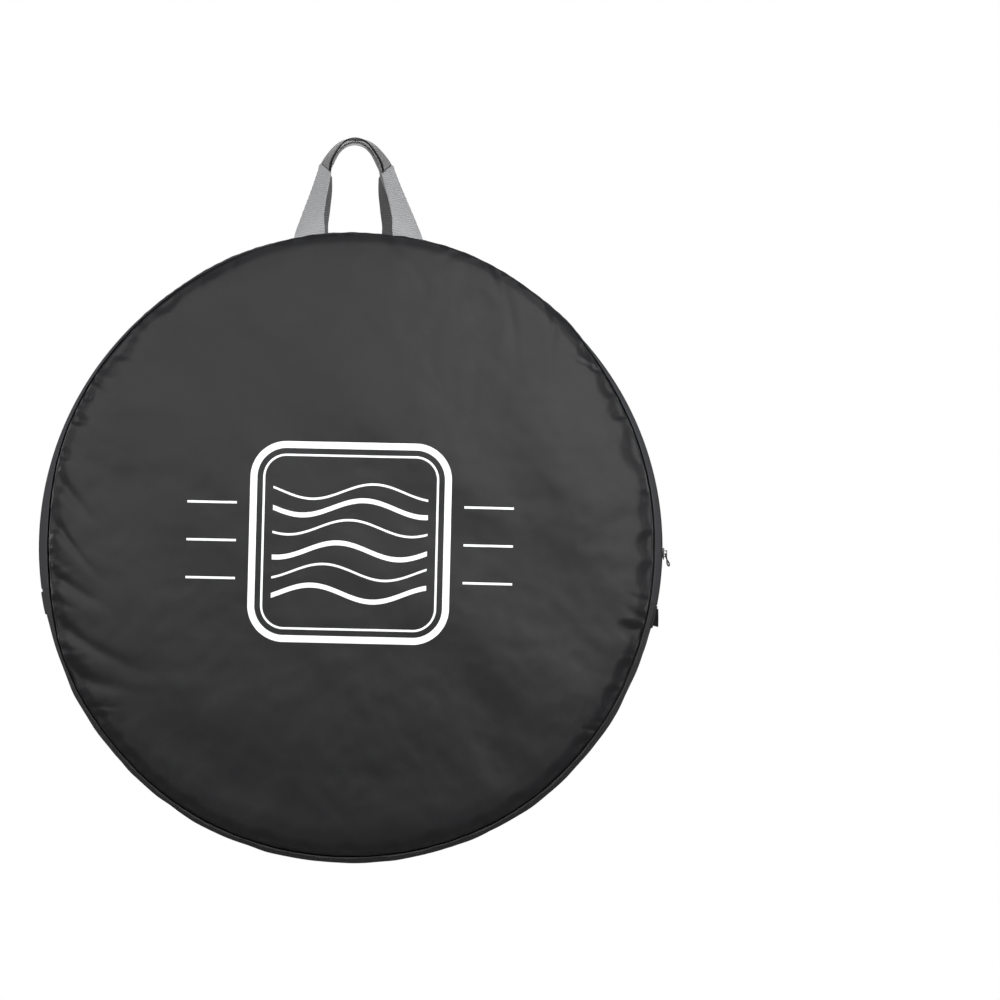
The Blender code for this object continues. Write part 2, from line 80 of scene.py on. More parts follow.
# Lights: name, place, the point it is aimed at, width, height and power in watts
SOFTBOXES = (
    ("key softbox", (0.68, -1.3, -0.03), (0.1, 0, -0.38), 0.6, 0.6, 18.3),
    ("top softbox", (0.1, -1.25, 0.45), (0, 0, -0.15), 0.7, 0.5, 2.2),
    ("left softbox", (-0.85, -1.45, 0.0), (-0.1, 0, -0.35), 0.8, 0.8, 17.5),
    ("right softbox", (1.9, 0.35, -0.1), (0.3, 0, -0.5), 0.7, 1.2, 16),
    ("far left softbox", (-1.9, 0.35, -0.1), (-0.3, 0, -0.5), 0.7, 1.2, 16),
    ("back softbox", (-0.3, 1.6, 0.8), (0, 0, -0.4), 1.2, 1.0, 52),
    ("small light over the handles", (0, 0.25, 0.35), (0, 0, -0.01), 0.15, 0.15, 0.8),
)
FLOOR_LEVEL = -1.26


def new_object(name, data):
    thing = bpy.data.objects.new(name, data)
    bpy.context.scene.collection.objects.link(thing)
    return thing


def primitive(name, add, **settings):
    """What one of Blender's own operators adds, alone in the selection."""
    bpy.ops.object.select_all(action="DESELECT")
    add(**settings)
    piece = bpy.context.object
    piece.name = name
    return piece


# Shader maths as ordinary sums


def maths_node(operation, turned=False):
    """A method that adds a Math node to a wire; turned, it takes the other value first."""

    def method(self, *other):
        node = self.socket.id_data.nodes.new("ShaderNodeMath")
        node.operation = operation
        for place, value in zip(node.inputs, (*other, self) if turned else (self, *other)):
            plug(place, value)
        return Wire(node.outputs[0])

    return method


class Wire:
    """A shader socket, or a sum of several, that Python's own operators work on."""

    def __init__(self, socket):
        self.socket = socket

    __add__, __radd__ = maths_node("ADD"), maths_node("ADD", turned=True)
    __sub__, __rsub__ = maths_node("SUBTRACT"), maths_node("SUBTRACT", turned=True)
    __mul__, __pow__ = maths_node("MULTIPLY"), maths_node("POWER")
    __lt__, __gt__ = maths_node("LESS_THAN"), maths_node("GREATER_THAN")
    __abs__, sine = maths_node("ABSOLUTE"), maths_node("SINE")
    least, most = maths_node("MINIMUM"), maths_node("MAXIMUM")


def plug(place, value):
    """Join a wire to a socket, or set the socket's own value."""
    if isinstance(value, Wire):
        place.id_data.links.new(value.socket, place)
    else:
        place.default_value = (*value, 1) if place.type == "RGBA" else value


class Finish:
    """A material in the making, with one method that adds any node to it."""

    def __init__(self, name, **constants):
        self.material = bpy.data.materials.new(name)
        self.material.use_nodes = True
        self.tree = self.material.node_tree
        self.wear(**constants)

    def node(self, kind, settings=None, sockets=None, output=0):
        node = self.tree.nodes.new(f"ShaderNode{kind}")
        for name, value in (settings or {}).items():
            setattr(node, name, value)
        for name, value in (sockets or {}).items():
            plug(node.inputs[name], value)
        return Wire(node.outputs[output])

    def cloth_place(self, name="cloth"):
        """The place on the cloth, in metres: as one vector, along it and across it."""
        uv = self.node("UVMap", {"uv_map": name})
        along = self.node("SeparateXYZ", sockets={"Vector": uv})
        return uv, along, Wire(along.socket.node.outputs["Y"])

    def body_place(self):
        """The place in the model's own frame, in metres."""
        return self.node("TexCoord", output="Object")

    def speckle(self, where, scale, detail=2.0, roughness=0.5):
        sockets = {"Vector": where, "Scale": scale, "Detail": detail, "Roughness": roughness}
        return self.node("TexNoise", sockets=sockets)

    def blend(self, share, first, second):
        """A mix of two colours; its sockets go by number, because their names repeat."""
        sockets = {0: share, 6: first, 7: second}
        return self.node("Mix", {"data_type": "RGBA"}, sockets, output=2)

    def relief(self, height, distance, strength=1.0, under=None):
        sockets = {"Height": height, "Distance": distance, "Strength": strength}
        if under:
            sockets["Normal"] = under
        return self.node("Bump", sockets=sockets)

    def wear(self, **values):
        """Feed the shader's sockets, an underscore in a name standing for a space."""
        shader = self.tree.nodes["Principled BSDF"]
        for socket, value in values.items():
            plug(shader.inputs[socket.replace("_", " ")], value)
        return self.material

    def dress(self, colour, roughness, normal):
        return self.wear(Base_Color=colour, Roughness=roughness, Normal=normal)


def grey(value, blue=0.0):
    return (value, value, value * (1 + blue))


# Camera, light and floor


def place_camera():
    """A long lens from a little below the bag, rolled as the photograph is."""
    metre = RADIUS_IN_IMAGE / BAG_RADIUS
    forward = Vector((0, math.cos(LOOK_UP), math.sin(LOOK_UP)))
    level, rise = Vector((1, 0, 0)), Vector((0, -math.sin(LOOK_UP), math.cos(LOOK_UP)))
    right = level * math.cos(ROLL) + rise * math.sin(ROLL)
    up = rise * math.cos(ROLL) - level * math.sin(ROLL)
    aside, below = ((place - IMAGE_SIZE / 2) / metre for place in BAG_IN_IMAGE)
    middle = CENTRE - right * aside + up * below
    distance = IMAGE_SIZE / metre * LENS / SENSOR
    data = bpy.data.cameras.new("camera")
    data.lens, data.sensor_width, data.clip_end = LENS, SENSOR, 60
    camera = new_object("camera", data)
    turn = Matrix((right, up, -forward)).transposed().to_4x4()
    camera.matrix_world = Matrix.Translation(middle - forward * distance) @ turn
    bpy.context.scene.camera = camera


def seen_and_lit(tree, seen, lit, output):
    """One shader for what the camera sees, another for what falls on the bag."""
    path = tree.nodes.new("ShaderNodeLightPath")
    mix = tree.nodes.new("ShaderNodeMixShader")
    tree.links.new(path.outputs["Is Camera Ray"], mix.inputs["Fac"])
    tree.links.new(lit.outputs[0], mix.inputs[1])
    tree.links.new(seen.outputs[0], mix.inputs[2])
    tree.links.new(mix.outputs[0], tree.nodes[output].inputs["Surface"])


def light_the_studio():
    """White surroundings that light the bag gently, and softboxes all round it."""
    world = bpy.data.worlds.new("studio")
    bpy.context.scene.world = world
    world.use_nodes = True
    seen = world.node_tree.nodes["Background"]
    seen.inputs["Color"].default_value = (1, 1, 1, 1)
    lit = world.node_tree.nodes.new("ShaderNodeBackground")
    lit.inputs["Color"].default_value = (0.93, 0.96, 1.0, 1)
    lit.inputs["Strength"].default_value = 0.24
    seen_and_lit(world.node_tree, seen, lit, "World Output")
    for name, place, aim, width, height, power in SOFTBOXES:
        data = bpy.data.lights.new(name, "AREA")
        data.shape, data.size, data.size_y, data.energy = "RECTANGLE", width, height, power
        lamp = new_object(name, data)
        lamp.location = place
        lamp.rotation_euler = (Vector(aim) - Vector(place)).to_track_quat("-Z", "Y").to_euler()
    bpy.context.scene.view_settings.view_transform = "Standard"


def lay_floor():
    """A floor that looks white and throws back as little light as a grey one."""
    floor = primitive("floor", bpy.ops.mesh.primitive_circle_add, vertices=96, radius=25,
                      fill_type="NGON", location=(0, 0, FLOOR_LEVEL))
    bpy.ops.object.transform_apply()
    finish = Finish("pale floor", Base_Color=grey(0.18), Roughness=0.9)
    nodes = finish.tree.nodes
    glow, shader = nodes.new("ShaderNodeEmission"), nodes["Principled BSDF"]
    seen_and_lit(finish.tree, glow, shader, "Material Output")
    floor.data.materials.append(finish.material)


place_camera()
light_the_studio()
lay_floor()


# Materials

# The line design, in metres from the middle of the panel: a rounded frame, its waves by rise,
# half width and phase, and the rises of the bars beside it
FRAME_HALF, FRAME_CORNER = 0.118, 0.040
WAVES = (
    (0.062, 0.0014, 0.4), (0.042, 0.0030, 0.9), (0.018, 0.0014, 1.6),
    (-0.010, 0.0030, 2.2), (-0.036, 0.0014, 2.9), (-0.062, 0.0030, 3.5),
)
BARS = (-0.046, 0.0, 0.046)


def printed_lines(u, v):
    """A plain line design: a rounded frame with waves in it, and bars at its sides."""
    over_u, over_v = (abs(place) - (FRAME_HALF - FRAME_CORNER) for place in (u, v))
    out = (over_u.most(0.0) ** 2.0 + over_v.most(0.0) ** 2.0) ** 0.5
    edge = out + over_u.most(over_v).least(0.0) - FRAME_CORNER
    lines = (abs(edge) < 0.0042).most(abs(edge + 0.0125) < 0.0013)
    inside = edge < -0.0240
    for rise, width, phase in WAVES:
        wave = (u * 42.0 + phase).sine() * 0.0095 + rise
        lines = lines.most((abs(v - wave) < width) * inside)
    for rise in BARS:
        lines = lines.most((abs(v - rise) < 0.0014) * (abs(abs(u) - 0.168) < 0.030))
    return lines


def nylon(name, shade, shine, gloss, printed=False, rough_weave=1.0):
    """Dark satin nylon: a close plain weave, faint creases and slightly uneven dye."""
    finish = Finish(name, Specular_IOR_Level=shine)
    uv, u, v = finish.cloth_place()
    cloud = finish.speckle(uv, 9.0, 3.0)
    crease = finish.speckle(uv, 55.0, 4.0, 0.62)
    colour = finish.blend(cloud, grey(shade * 0.88, 0.06), grey(shade * 1.12, 0.09))
    roughness = gloss + finish.speckle(uv, 30.0, 3.0) * 0.10
    thread = 2 * math.pi / 0.0007
    weave = (u * thread).sine() * (v * thread).sine()
    crumple = finish.relief(crease, 0.0003 * rough_weave, 0.5)
    if printed:
        ink = printed_lines(u, v) * (finish.cloth_place("face")[1] > 0.5)
        colour = finish.blend(ink, colour, grey(0.93))
        roughness = roughness + ink * 0.10
        # Painted light: the white ink also glows a little, so it stands brighter than the lamps
        # alone make it.
        glow = finish.blend(ink, grey(0.0), grey(0.05))
        finish.wear(Emission_Strength=1.0, Emission_Color=glow)
        crumple = finish.relief(ink, 0.00015, 0.6, crumple)
    normal = finish.relief(weave, 0.00006 * rough_weave, 0.5, crumple)
    return finish.dress(colour, roughness, normal)


def coarse_cloth(name, shade, pitch, depth, gloss=0.7):
    """Plainly woven cloth, whose threads catch the light one by one."""
    finish = Finish(name, Specular_IOR_Level=0.1)
    uv, u, v = finish.cloth_place()
    thread = math.pi / pitch
    across, along = abs((u * thread).sine()), abs((v * thread).sine())
    over = (u * (thread / 2)).sine() * (v * (thread / 2)).sine() > 0.0
    weave = across * over + along * (1.0 - over)
    fleck = finish.speckle(uv, 900.0, 1.0)
    tint = (weave * 0.6 + fleck * 0.5).least(1.0)
    colour = finish.blend(tint, grey(shade * 0.45), grey(shade * 1.5))
    normal = finish.relief(weave + fleck * 0.3, depth, 0.8)
    return finish.dress(colour, gloss + fleck * 0.15, normal)


def strap_webbing(name, shade, folded=False):
    """Webbing: slubby ribs across the strap and cords along it; folded, its grip gets painted
    shade, with a painted shadow along the crease and at the inner edge.
    """
    finish = Finish(name, Specular_IOR_Level=0.12, Sheen_Weight=0.05, Sheen_Roughness=0.5)
    uv, u, v = finish.cloth_place()
    sway = finish.speckle(uv, 90.0, 1.0)
    rib = ((v + sway * 0.0022 + (u * 700.0).sine() * 0.0004) * (2 * math.pi / 0.0029)).sine()
    cord = (u * (2 * math.pi / 0.0021)).sine()
    slub = finish.speckle(uv, 330.0, 3.0, 0.6)
    patchy = finish.speckle(uv, 120.0, 3.0)
    height = rib * 0.45 * (patchy + 0.4) + cord * 0.22 + slub * 0.9
    shine = (height * 0.42 + 0.16).most(0.0).least(1.0)
    colour = finish.blend(shine, grey(shade * 0.62, 0.01), grey(shade * 1.25, 0.02))
    if folded:
        grip = finish.cloth_place("grip")[1]
        # Painted shade: past the crease the folded grip is darkened, as if it lay in the shade of
        # its fold.
        colour = finish.blend(grip * 0.75, colour, grey(shade * 0.40, 0.01))
        # Painted shadow: a thin near-black line along the crease where the strap folds.
        crease = (grip * (1.0 - grip) * 3.4).least(1.0)
        colour = finish.blend(crease, colour, grey(0.03))
        # Painted shadow: a near-black band along the inner edge of the folded grip, weaker at the
        # top of the arch.
        edge = (1.0 - (u - 0.0024) * 700.0).most(0.0).least(1.0) * grip
        edge = edge * (abs(v - 0.185) * 50.0 + 0.3).least(1.0)
        colour = finish.blend(edge, colour, grey(0.004))
    return finish.dress(colour, 0.82 + slub * 0.12, finish.relief(height, 0.00045, 0.8))


def moulded(name, shade, rough, grain):
    """Moulded or coated parts: a fine grain, with the edges rubbed a little brighter."""
    finish = Finish(name, Specular_IOR_Level=0.3)
    where = finish.body_place()
    fine = finish.speckle(where, grain)
    rub = finish.speckle(where, 420.0, 3.0)
    worn = finish.node("NewGeometry", output="Pointiness")
    edge = ((worn - 0.52) * 9.0).most(0.0).least(1.0) * rub
    colour = finish.blend(edge, grey(shade), grey(min(1.0, shade * 3 + 0.02)))
    return finish.dress(colour, rough + (rub - 0.5) * 0.18, finish.relief(fine, 0.00004, 0.6))


def grained_guard(name, shade):
    """Tough patch with a pebbled face, as on moulded sheet."""
    finish = Finish(name, Specular_IOR_Level=0.25)
    uv = finish.cloth_place()[0]
    cells = finish.node("TexVoronoi", {"feature": "F1"}, {"Vector": uv, "Scale": 620.0})
    cloud = finish.speckle(uv, 40.0, 3.0)
    colour = finish.blend(cloud, grey(shade * 0.8), grey(shade * 1.25))
    return finish.dress(colour, 0.48 + cells * 0.2, finish.relief(cells, 0.0003, 0.6))


def lining_taffeta(name):
    """Thin black lining, smoother than the shell, with a crosswise crinkle."""
    finish = Finish(name, Specular_IOR_Level=0.28)
    uv, u, v = finish.cloth_place()
    crease = finish.speckle(uv, 38.0, 5.0, 0.6)
    thread = 2 * math.pi / 0.0009
    weave = (u * thread).sine() + (v * thread).sine()
    colour = finish.blend(crease, grey(0.007, 0.05), grey(0.013, 0.08))
    normal = finish.relief(weave, 0.00004, 0.4, finish.relief(crease, 0.0016, 0.6))
    return finish.dress(colour, 0.36 + crease * 0.16, normal)


def thread_finish(name, shade):
    """Sewing thread, two plies twisted together."""
    finish = Finish(name, Specular_IOR_Level=0.1)
    ply = finish.speckle(finish.body_place(), 1500.0)
    colour = finish.blend(ply, grey(shade * 0.6), grey(shade * 1.6))
    return finish.dress(colour, 0.55 + ply * 0.2, finish.relief(ply, 0.0002, 0.6))


PRINTED_NYLON = nylon("dark satin nylon with white lines", 0.012, 0.22, 0.36, printed=True)
PLAIN_NYLON = nylon("dark satin nylon", 0.036, 0.12, 0.46)
GUSSET_NYLON = nylon("dark gusset nylon", 0.052, 0.0, 0.62, rough_weave=0.5)
BASE_CLOTH = coarse_cloth("woven base cloth", 0.036, 0.0011, 0.0004, 0.62)
TAPE_CLOTH = coarse_cloth("zip tape weave", 0.010, 0.0007, 0.0002)
BINDING_CLOTH = coarse_cloth("seam binding weave", 0.012, 0.0009, 0.0003)
GREY_WEBBING = strap_webbing("light grey webbing", 0.34, folded=True)
# Painted shade: a darker copy of the grey webbing, for the face of each strap that looks towards
# the bag's middle.
SHADED_WEBBING_BACK = strap_webbing("grey webbing darkened as painted shade", 0.12)
SEWN_WEBBING = strap_webbing("grey webbing sewn inside", 0.22)
BLACK_WEBBING = strap_webbing("black webbing", 0.012)
LINING_CLOTH = lining_taffeta("black taffeta lining")
GUARD_SHEET = grained_guard("pebbled hub guard", 0.020)
COIL_NYLON = moulded("black nylon coil", 0.012, 0.6, 2600.0)
SLIDER_COAT = moulded("black coated slider", 0.012, 0.34, 1800.0)
PULL_COAT = moulded("dark pull cord", 0.010, 0.5, 3000.0)
DARK_THREAD = thread_finish("dark thread", 0.018)


# Making and finishing meshes


def smooth_step(x):
    x = min(1.0, max(0.0, x))
    return x * x * (3 - 2 * x)


def lump(x, y, z):
    """Soft random unevenness at a place, the same on each run."""
    return noise.noise(Vector((x, y, z)))


def choose(*pieces):
    bpy.ops.object.select_all(action="DESELECT")
    for piece in pieces:
        piece.select_set(True)
    bpy.context.view_layer.objects.active = pieces[0]


def bake_modifiers(piece):
    choose(piece)
    for modifier in list(piece.modifiers):
        bpy.ops.object.modifier_apply(modifier=modifier.name)


def finish_mesh(piece, material, smooth=40, places=None):
    """Settle a piece's place into its mesh, turn its faces outwards and dress it."""
    choose(piece)
    bpy.ops.object.transform_apply()
    bpy.ops.object.mode_set(mode="EDIT")
    bpy.ops.mesh.select_all(action="SELECT")
    bpy.ops.mesh.remove_doubles(threshold=1e-6)
    bpy.ops.mesh.normals_make_consistent(inside=False)
    bpy.ops.object.mode_set(mode="OBJECT")
    bpy.ops.object.shade_smooth_by_angle(angle=math.radians(smooth))
    piece.data.materials.clear()
    piece.data.materials.append(material)
    if places:
        places(piece)
    return piece


def mesh_piece(name, points, faces):
    mesh = bpy.data.meshes.new(name)
    mesh.from_pydata(np.asarray(points).tolist(), [], faces)
    mesh.update()
    return new_object(name, mesh)


def vertex_places(piece):
    places = np.empty(len(piece.data.vertices) * 3)
    piece.data.vertices.foreach_get("co", places)
    return places.reshape(-1, 3)


def move_vertices(piece, places):
    piece.data.vertices.foreach_set("co", places.ravel())
    piece.data.update()


def give_cloth_places(piece, places, name="cloth"):
    """Write the cloth's own coordinates, one pair for each vertex, as a UV map."""
    layer = piece.data.uv_layers.new(name=name)
    corners = np.empty(len(piece.data.loops), np.int32)
    piece.data.loops.foreach_get("vertex_index", corners)
    layer.uv.foreach_set("vector", np.asarray(places, np.float32)[corners].ravel())


def flat_cloth_places(piece):
    """Cloth coordinates of a panel: across and up from the bag's middle."""
    places = vertex_places(piece)
    give_cloth_places(piece, np.stack([places[:, 0], places[:, 2] - CENTRE.z], 1))


def round_cloth_places(piece):
    """Cloth coordinates of a strip round the bag: along it from the bottom, and across."""
    places = vertex_places(piece)
    around = np.arctan2(places[:, 0], -(places[:, 2] - CENTRE.z))
    give_cloth_places(piece, np.stack([around * BAG_RADIUS, places[:, 1]], 1))


def put(piece, body, slot, *nodes):
    """Hang a piece on the body that carries it, or settle its place into its mesh, and hide the
    solids it stands in for; the finish (slot) is not used.
    """
    if body:
        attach(piece, body)
    else:
        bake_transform(piece)
    if nodes:
        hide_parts(*nodes)


def turn_about_bag(angle):
    """A turn about the bag's own axis, counted from +X up towards +Z."""
    there = Matrix.Translation(CENTRE)
    return there @ Matrix.Rotation(-angle, 4, "Y") @ there.inverted()


def repeat_round(piece, start, step, count):
    """Turn a piece about the bag to its start, then copy it round with an array."""
    piece.data.transform(Matrix.Translation(CENTRE))
    piece.data.transform(turn_about_bag(start))
    guide = new_object("turn", None)
    guide.matrix_world = turn_about_bag(step)
    array = piece.modifiers.new("round", "ARRAY")
    array.use_relative_offset, array.use_object_offset = False, True
    array.offset_object, array.count = guide, count
    bpy.context.view_layer.update()
    bake_modifiers(piece)
    bpy.data.objects.remove(guide)


# Sections of the strips round the bag, as (distance from the middle plane, radius)


def gusset_radius(y):
    return BAG_RADIUS - BULGE * (y / LIP_EDGE) ** 2


def between(first, last, count):
    return [first + (last - first) * i / (count - 1) for i in range(count)]


def mirrored(section, side):
    return [(side * y, r) for y, r in section]


def lip_section():
    """The edge next to a panel: the cloth folds over and runs back under itself."""
    r = gusset_radius(LIP_EDGE)
    return [
        (LIP_EDGE + 0.0004, r - 0.0005), (LIP_EDGE + 0.0004, r - 0.0011),
        (LIP_EDGE - 0.0002, r - 0.0016), (0.0445, r - 0.0017), (0.0415, r - 0.0017),
        (0.0405, r - 0.0024),
    ]


def half_gusset_section():
    """One half of the zip gusset, with a slot under its hem for the zip tape."""
    outer = [(y, gusset_radius(y)) for y in between(0.0094, LIP_EDGE - 0.0005, 17)]
    inner = [(y, gusset_radius(y) - PADDING) for y in between(0.0403, 0.0108, 8)]
    tape_slot = [
        (0.0101, 0.3755), (0.0101, 0.3776), (0.0108, 0.3780), (0.0160, 0.3779),
        (0.0165, 0.3784), (0.0160, 0.37905), (0.0098, 0.37915), (0.0090, 0.3794),
    ]
    return outer + lip_section() + inner + tape_slot


def base_section():
    """The full-width base strip, with the folded edge at both panels."""
    outer = [(y, gusset_radius(y)) for y in between(-LIP_EDGE + 0.0005, LIP_EDGE - 0.0005, 33)]
    inner = [(y, gusset_radius(y) - PADDING) for y in between(0.0403, -0.0403, 15)]
    return outer + lip_section() + inner + mirrored(reversed(lip_section()), -1)


# The bag hangs from its handles, so it is a little longer than it is wide: how far its
# seam stands outside the true circle, in millimetres, by the angle up from the right

HANG_ANGLES = (
    -180, -170, -160, -150, -140, -120, -90, -60, -50, -40, -30, -20, -10, 0, 20, 30, 40, 50,
    60, 70, 90, 105, 112, 122, 135, 150, 163, 170, 180,
)
HANG_RISES = (
    -4, -2.5, 3.2, 5.4, 5.2, 9, 9.5, 11, 10, 7, 5, 1.5, 0.5, -1, 1, 1.2, 3.7, 8.5,
    12, 13.5, 11.7, 10.7, 7.2, 4.7, 3, 2.2, 1, -2, -4,
)

# The most that the gusset's edge rises in the upper half, how far below the middle the
# patches over the zip's ends stop, and the height over which the strips' share changes there
LIP_LIMIT, PATCH_DROP, HANG_BLEND = 0.0070, 0.105, 0.10


def hang(points, upper=1.0, lower=1.0, limit=LIP_LIMIT):
    """Move points out from the bag's middle by the rise of the seam beside them.

    The share that follows is "upper" down to the patches below the zip's ends, and runs over
    to "lower" under them.
    """
    points = np.array(points, float)
    x, z = points[:, 0], points[:, 2] - CENTRE.z
    r = np.hypot(x, z) + 1e-9
    angle = np.degrees(np.arctan2(z, x))
    rise = sum(np.interp((angle + turn + 180) % 360 - 180, HANG_ANGLES, HANG_RISES)
               for turn in (-4, 0, 4)) / 3000
    rise = np.minimum(rise, np.where(z > 0, limit, 1.0))
    share = upper + (lower - upper) * np.clip((-z - PATCH_DROP) / HANG_BLEND, 0, 1)
    move = rise * np.clip(r / 0.37, 0, 1.05) ** 2 * share
    points[:, 0] += move * x / r
    points[:, 2] += move * z / r
    return points


# Padded pieces


def ring_disc(radius, rings):
    """A disc of even triangles: each ring holds six more points than the one inside it."""
    points, first = [(0.0, 0.0)], [0]
    for k in range(1, rings + 1):
        first.append(len(points))
        for i in range(6 * k):
            angle = math.pi * (2 * i + k % 2) / (6 * k) + 0.7 * k
            reach = radius * k / rings
            points.append((reach * math.cos(angle), reach * math.sin(angle)))
    faces = [(0, 1 + i, 1 + (i + 1) % 6) for i in range(6)]

    def turn(index, start):
        angle = math.atan2(points[index][1], points[index][0])
        return (angle - start) % (2 * math.pi)

    for k in range(2, rings + 1):
        outer = list(range(first[k], first[k] + 6 * k))
        inner = list(range(first[k - 1], first[k]))
        start = math.atan2(points[outer[0]][1], points[outer[0]][0])
        apart = [min(turn(p, start), 2 * math.pi - turn(p, start)) for p in inner]
        shift = apart.index(min(apart))
        inner = inner[shift:] + inner[:shift]
        at_outer = [turn(p, start) for p in outer] + [2 * math.pi]
        at_inner = [turn(p, start) for p in inner]
        if at_inner[0] > math.pi:
            at_inner[0] -= 2 * math.pi
        at_inner.append(at_inner[0] + 2 * math.pi)
        i = j = 0
        while i < len(outer) or j < len(inner):
            if j >= len(inner) or (i < len(outer) and at_outer[i + 1] <= at_inner[j + 1]):
                faces.append((outer[i], outer[(i + 1) % len(outer)], inner[j % len(inner)]))
                i += 1
            else:
                faces.append((inner[j], outer[i % len(outer)], inner[(j + 1) % len(inner)]))
                j += 1
    return np.array(points), faces, list(range(first[rings], len(points)))


def crown_height(r, rim=CROWN_RIM, crown=CROWN, fall=0.6):
    run = np.clip((r - FLAT_RADIUS) / (rim - FLAT_RADIUS), 0, 1)
    return crown * (1 - run**3) ** fall


def back_height(r):
    """The back of a panel's padding, thinner towards the seam."""
    return crown_height(r, 0.3669, 0.0118, 0.9)


CLOTH_FRAMES, MOST_BLOWN = 30, 0.004


def sewn_cloth_relief():
    """Cloth sewn into the round seam with slack near it, blown out softly.

    Returns a function that gives how far the cloth stands from the even crown.
    """
    points, faces, border = ring_disc(FACE_RADIUS, 60)
    r = np.hypot(points[:, 0], points[:, 1])
    lumps = np.array([lump(a * 22, b * 22, 3) + 0.5 * lump(a * 60, b * 60, 10) for a, b in points])
    fade = np.clip((FACE_RADIUS - r) / 0.03, 0, 1)
    y = -0.85 * crown_height(r, FACE_RADIUS) + 0.0007 * lumps * fade
    cloth = mesh_piece("sewn cloth", np.stack([points[:, 0], y, points[:, 1]], 1), faces)
    cloth.vertex_groups.new(name="seam").add(border, 1.0, "REPLACE")
    slack = cloth.vertex_groups.new(name="slack")
    angle = np.arctan2(points[:, 1], points[:, 0])
    uneven = 0.6 + 0.4 * np.sin(angle * 5 + 1.0) * np.sin(angle * 3 + 4.0)
    for index, weight in enumerate(np.clip((r - 0.25) / 0.09, 0, 1) * uneven):
        if weight > 0:
            slack.add([index], float(weight), "REPLACE")
    modifier = cloth.modifiers.new("cloth", "CLOTH")
    settings = modifier.settings
    settings.quality, settings.mass = 6, 0.15
    settings.tension_stiffness = settings.compression_stiffness = 20
    settings.shear_stiffness, settings.bending_stiffness = 10, 4
    settings.vertex_group_mass, settings.vertex_group_shrink = "seam", "slack"
    settings.shrink_min, settings.shrink_max = 0.0, -0.065
    settings.use_pressure, settings.uniform_pressure_force = True, 0.05
    settings.effector_weights.gravity = 0
    modifier.point_cache.frame_start, modifier.point_cache.frame_end = 1, CLOTH_FRAMES
    for step in range(1, CLOTH_FRAMES + 1):
        bpy.context.scene.frame_set(step)
    bake_modifiers(cloth)
    blown = vertex_places(cloth)
    bpy.data.objects.remove(cloth)
    bpy.context.scene.frame_set(1)
    tree = BVHTree.FromPolygons(blown.tolist(), faces)
    inner = FACE_RADIUS - 0.0004

    def relief(x, z):
        reach = math.hypot(x, z)
        if reach > inner:
            x, z = x * inner / reach, z * inner / reach
        place = tree.ray_cast(Vector((x, -1, z)), Vector((0, 1, 0)))[0]
        if place is None:
            return 0.0
        even = 0.97 * float(crown_height(min(reach, inner), FACE_RADIUS))
        return max(-MOST_BLOWN, min(MOST_BLOWN, -place.y - even))

    return relief


def round_grid(cells):
    """A square grid bent into a unit disc, and its border in order, evenly round the rim."""
    steps = np.linspace(-1, 1, cells + 1)
    a, b = np.meshgrid(steps, steps, indexing="ij")
    wide = np.abs(a) > np.abs(b)
    far = np.where(wide, a, b)
    with np.errstate(divide="ignore", invalid="ignore"):
        turn = np.where(wide, math.pi / 4 * b / a, math.pi / 2 - math.pi / 4 * a / b)
    turn = np.nan_to_num(turn)
    number = np.arange((cells + 1) ** 2).reshape(cells + 1, cells + 1)
    quads = np.stack(
        [number[:-1, :-1], number[1:, :-1], number[1:, 1:], number[:-1, 1:]], -1
    ).reshape(-1, 4)
    border = np.concatenate(
        [number[:-1, 0], number[-1, :-1], number[:0:-1, -1], number[0, :0:-1]]
    )
    return (far * np.cos(turn)).ravel(), (far * np.sin(turn)).ravel(), quads.tolist(), border


# Soft folds that run in from the seam of the front panel, as in the photograph: angle up from
# the right, half width, length and depth in millimetres, and slant against the radius
FRONT_FOLDS = (
    (196, 12.5, 92, 2.7, 1.4), (187, 9.0, 80, 2.7, 0.9), (183.5, 4.0, 22, 1.6, 0.9),
    (176, 8.0, 72, 3.1, 1.4), (168, 9.0, 66, 3.2, 1.0), (164, 3.5, 14, 2.0, 0.3),
    (156.5, 4.5, 26, 2.8, 0.5), (152, 3.5, 16, 2.0, 0.2), (148.6, 3.0, 34, 2.4, 0.1),
    (143, 6.0, 30, 2.0, -0.6), (138, 5.0, 20, 1.6, -0.5), (207, 11.0, 62, 2.3, 1.0),
    (322, 2.2, 20, 2.0, 0.9), (324, 2.0, 17, 2.0, -0.6), (326, 2.2, 20, 2.0, 0.8),
    (36, 4.0, 30, 1.8, 2.0), (27, 3.0, 22, 1.8, -0.3), (-13, 4.0, 30, 1.8, 0.3),
    (-16, 4.0, 34, 2.4, 0.2), (113, 3.4, 14, 1.6, 0.4), (120, 3.6, 16, 1.8, 0.5),
    (134.5, 3.2, 18, 1.8, 0.4), (84, 8.0, 70, 1.0, -1.1), (63, 10.0, 85, 1.7, -1.25),
    (50, 7.0, 50, 1.2, -1.0),
)

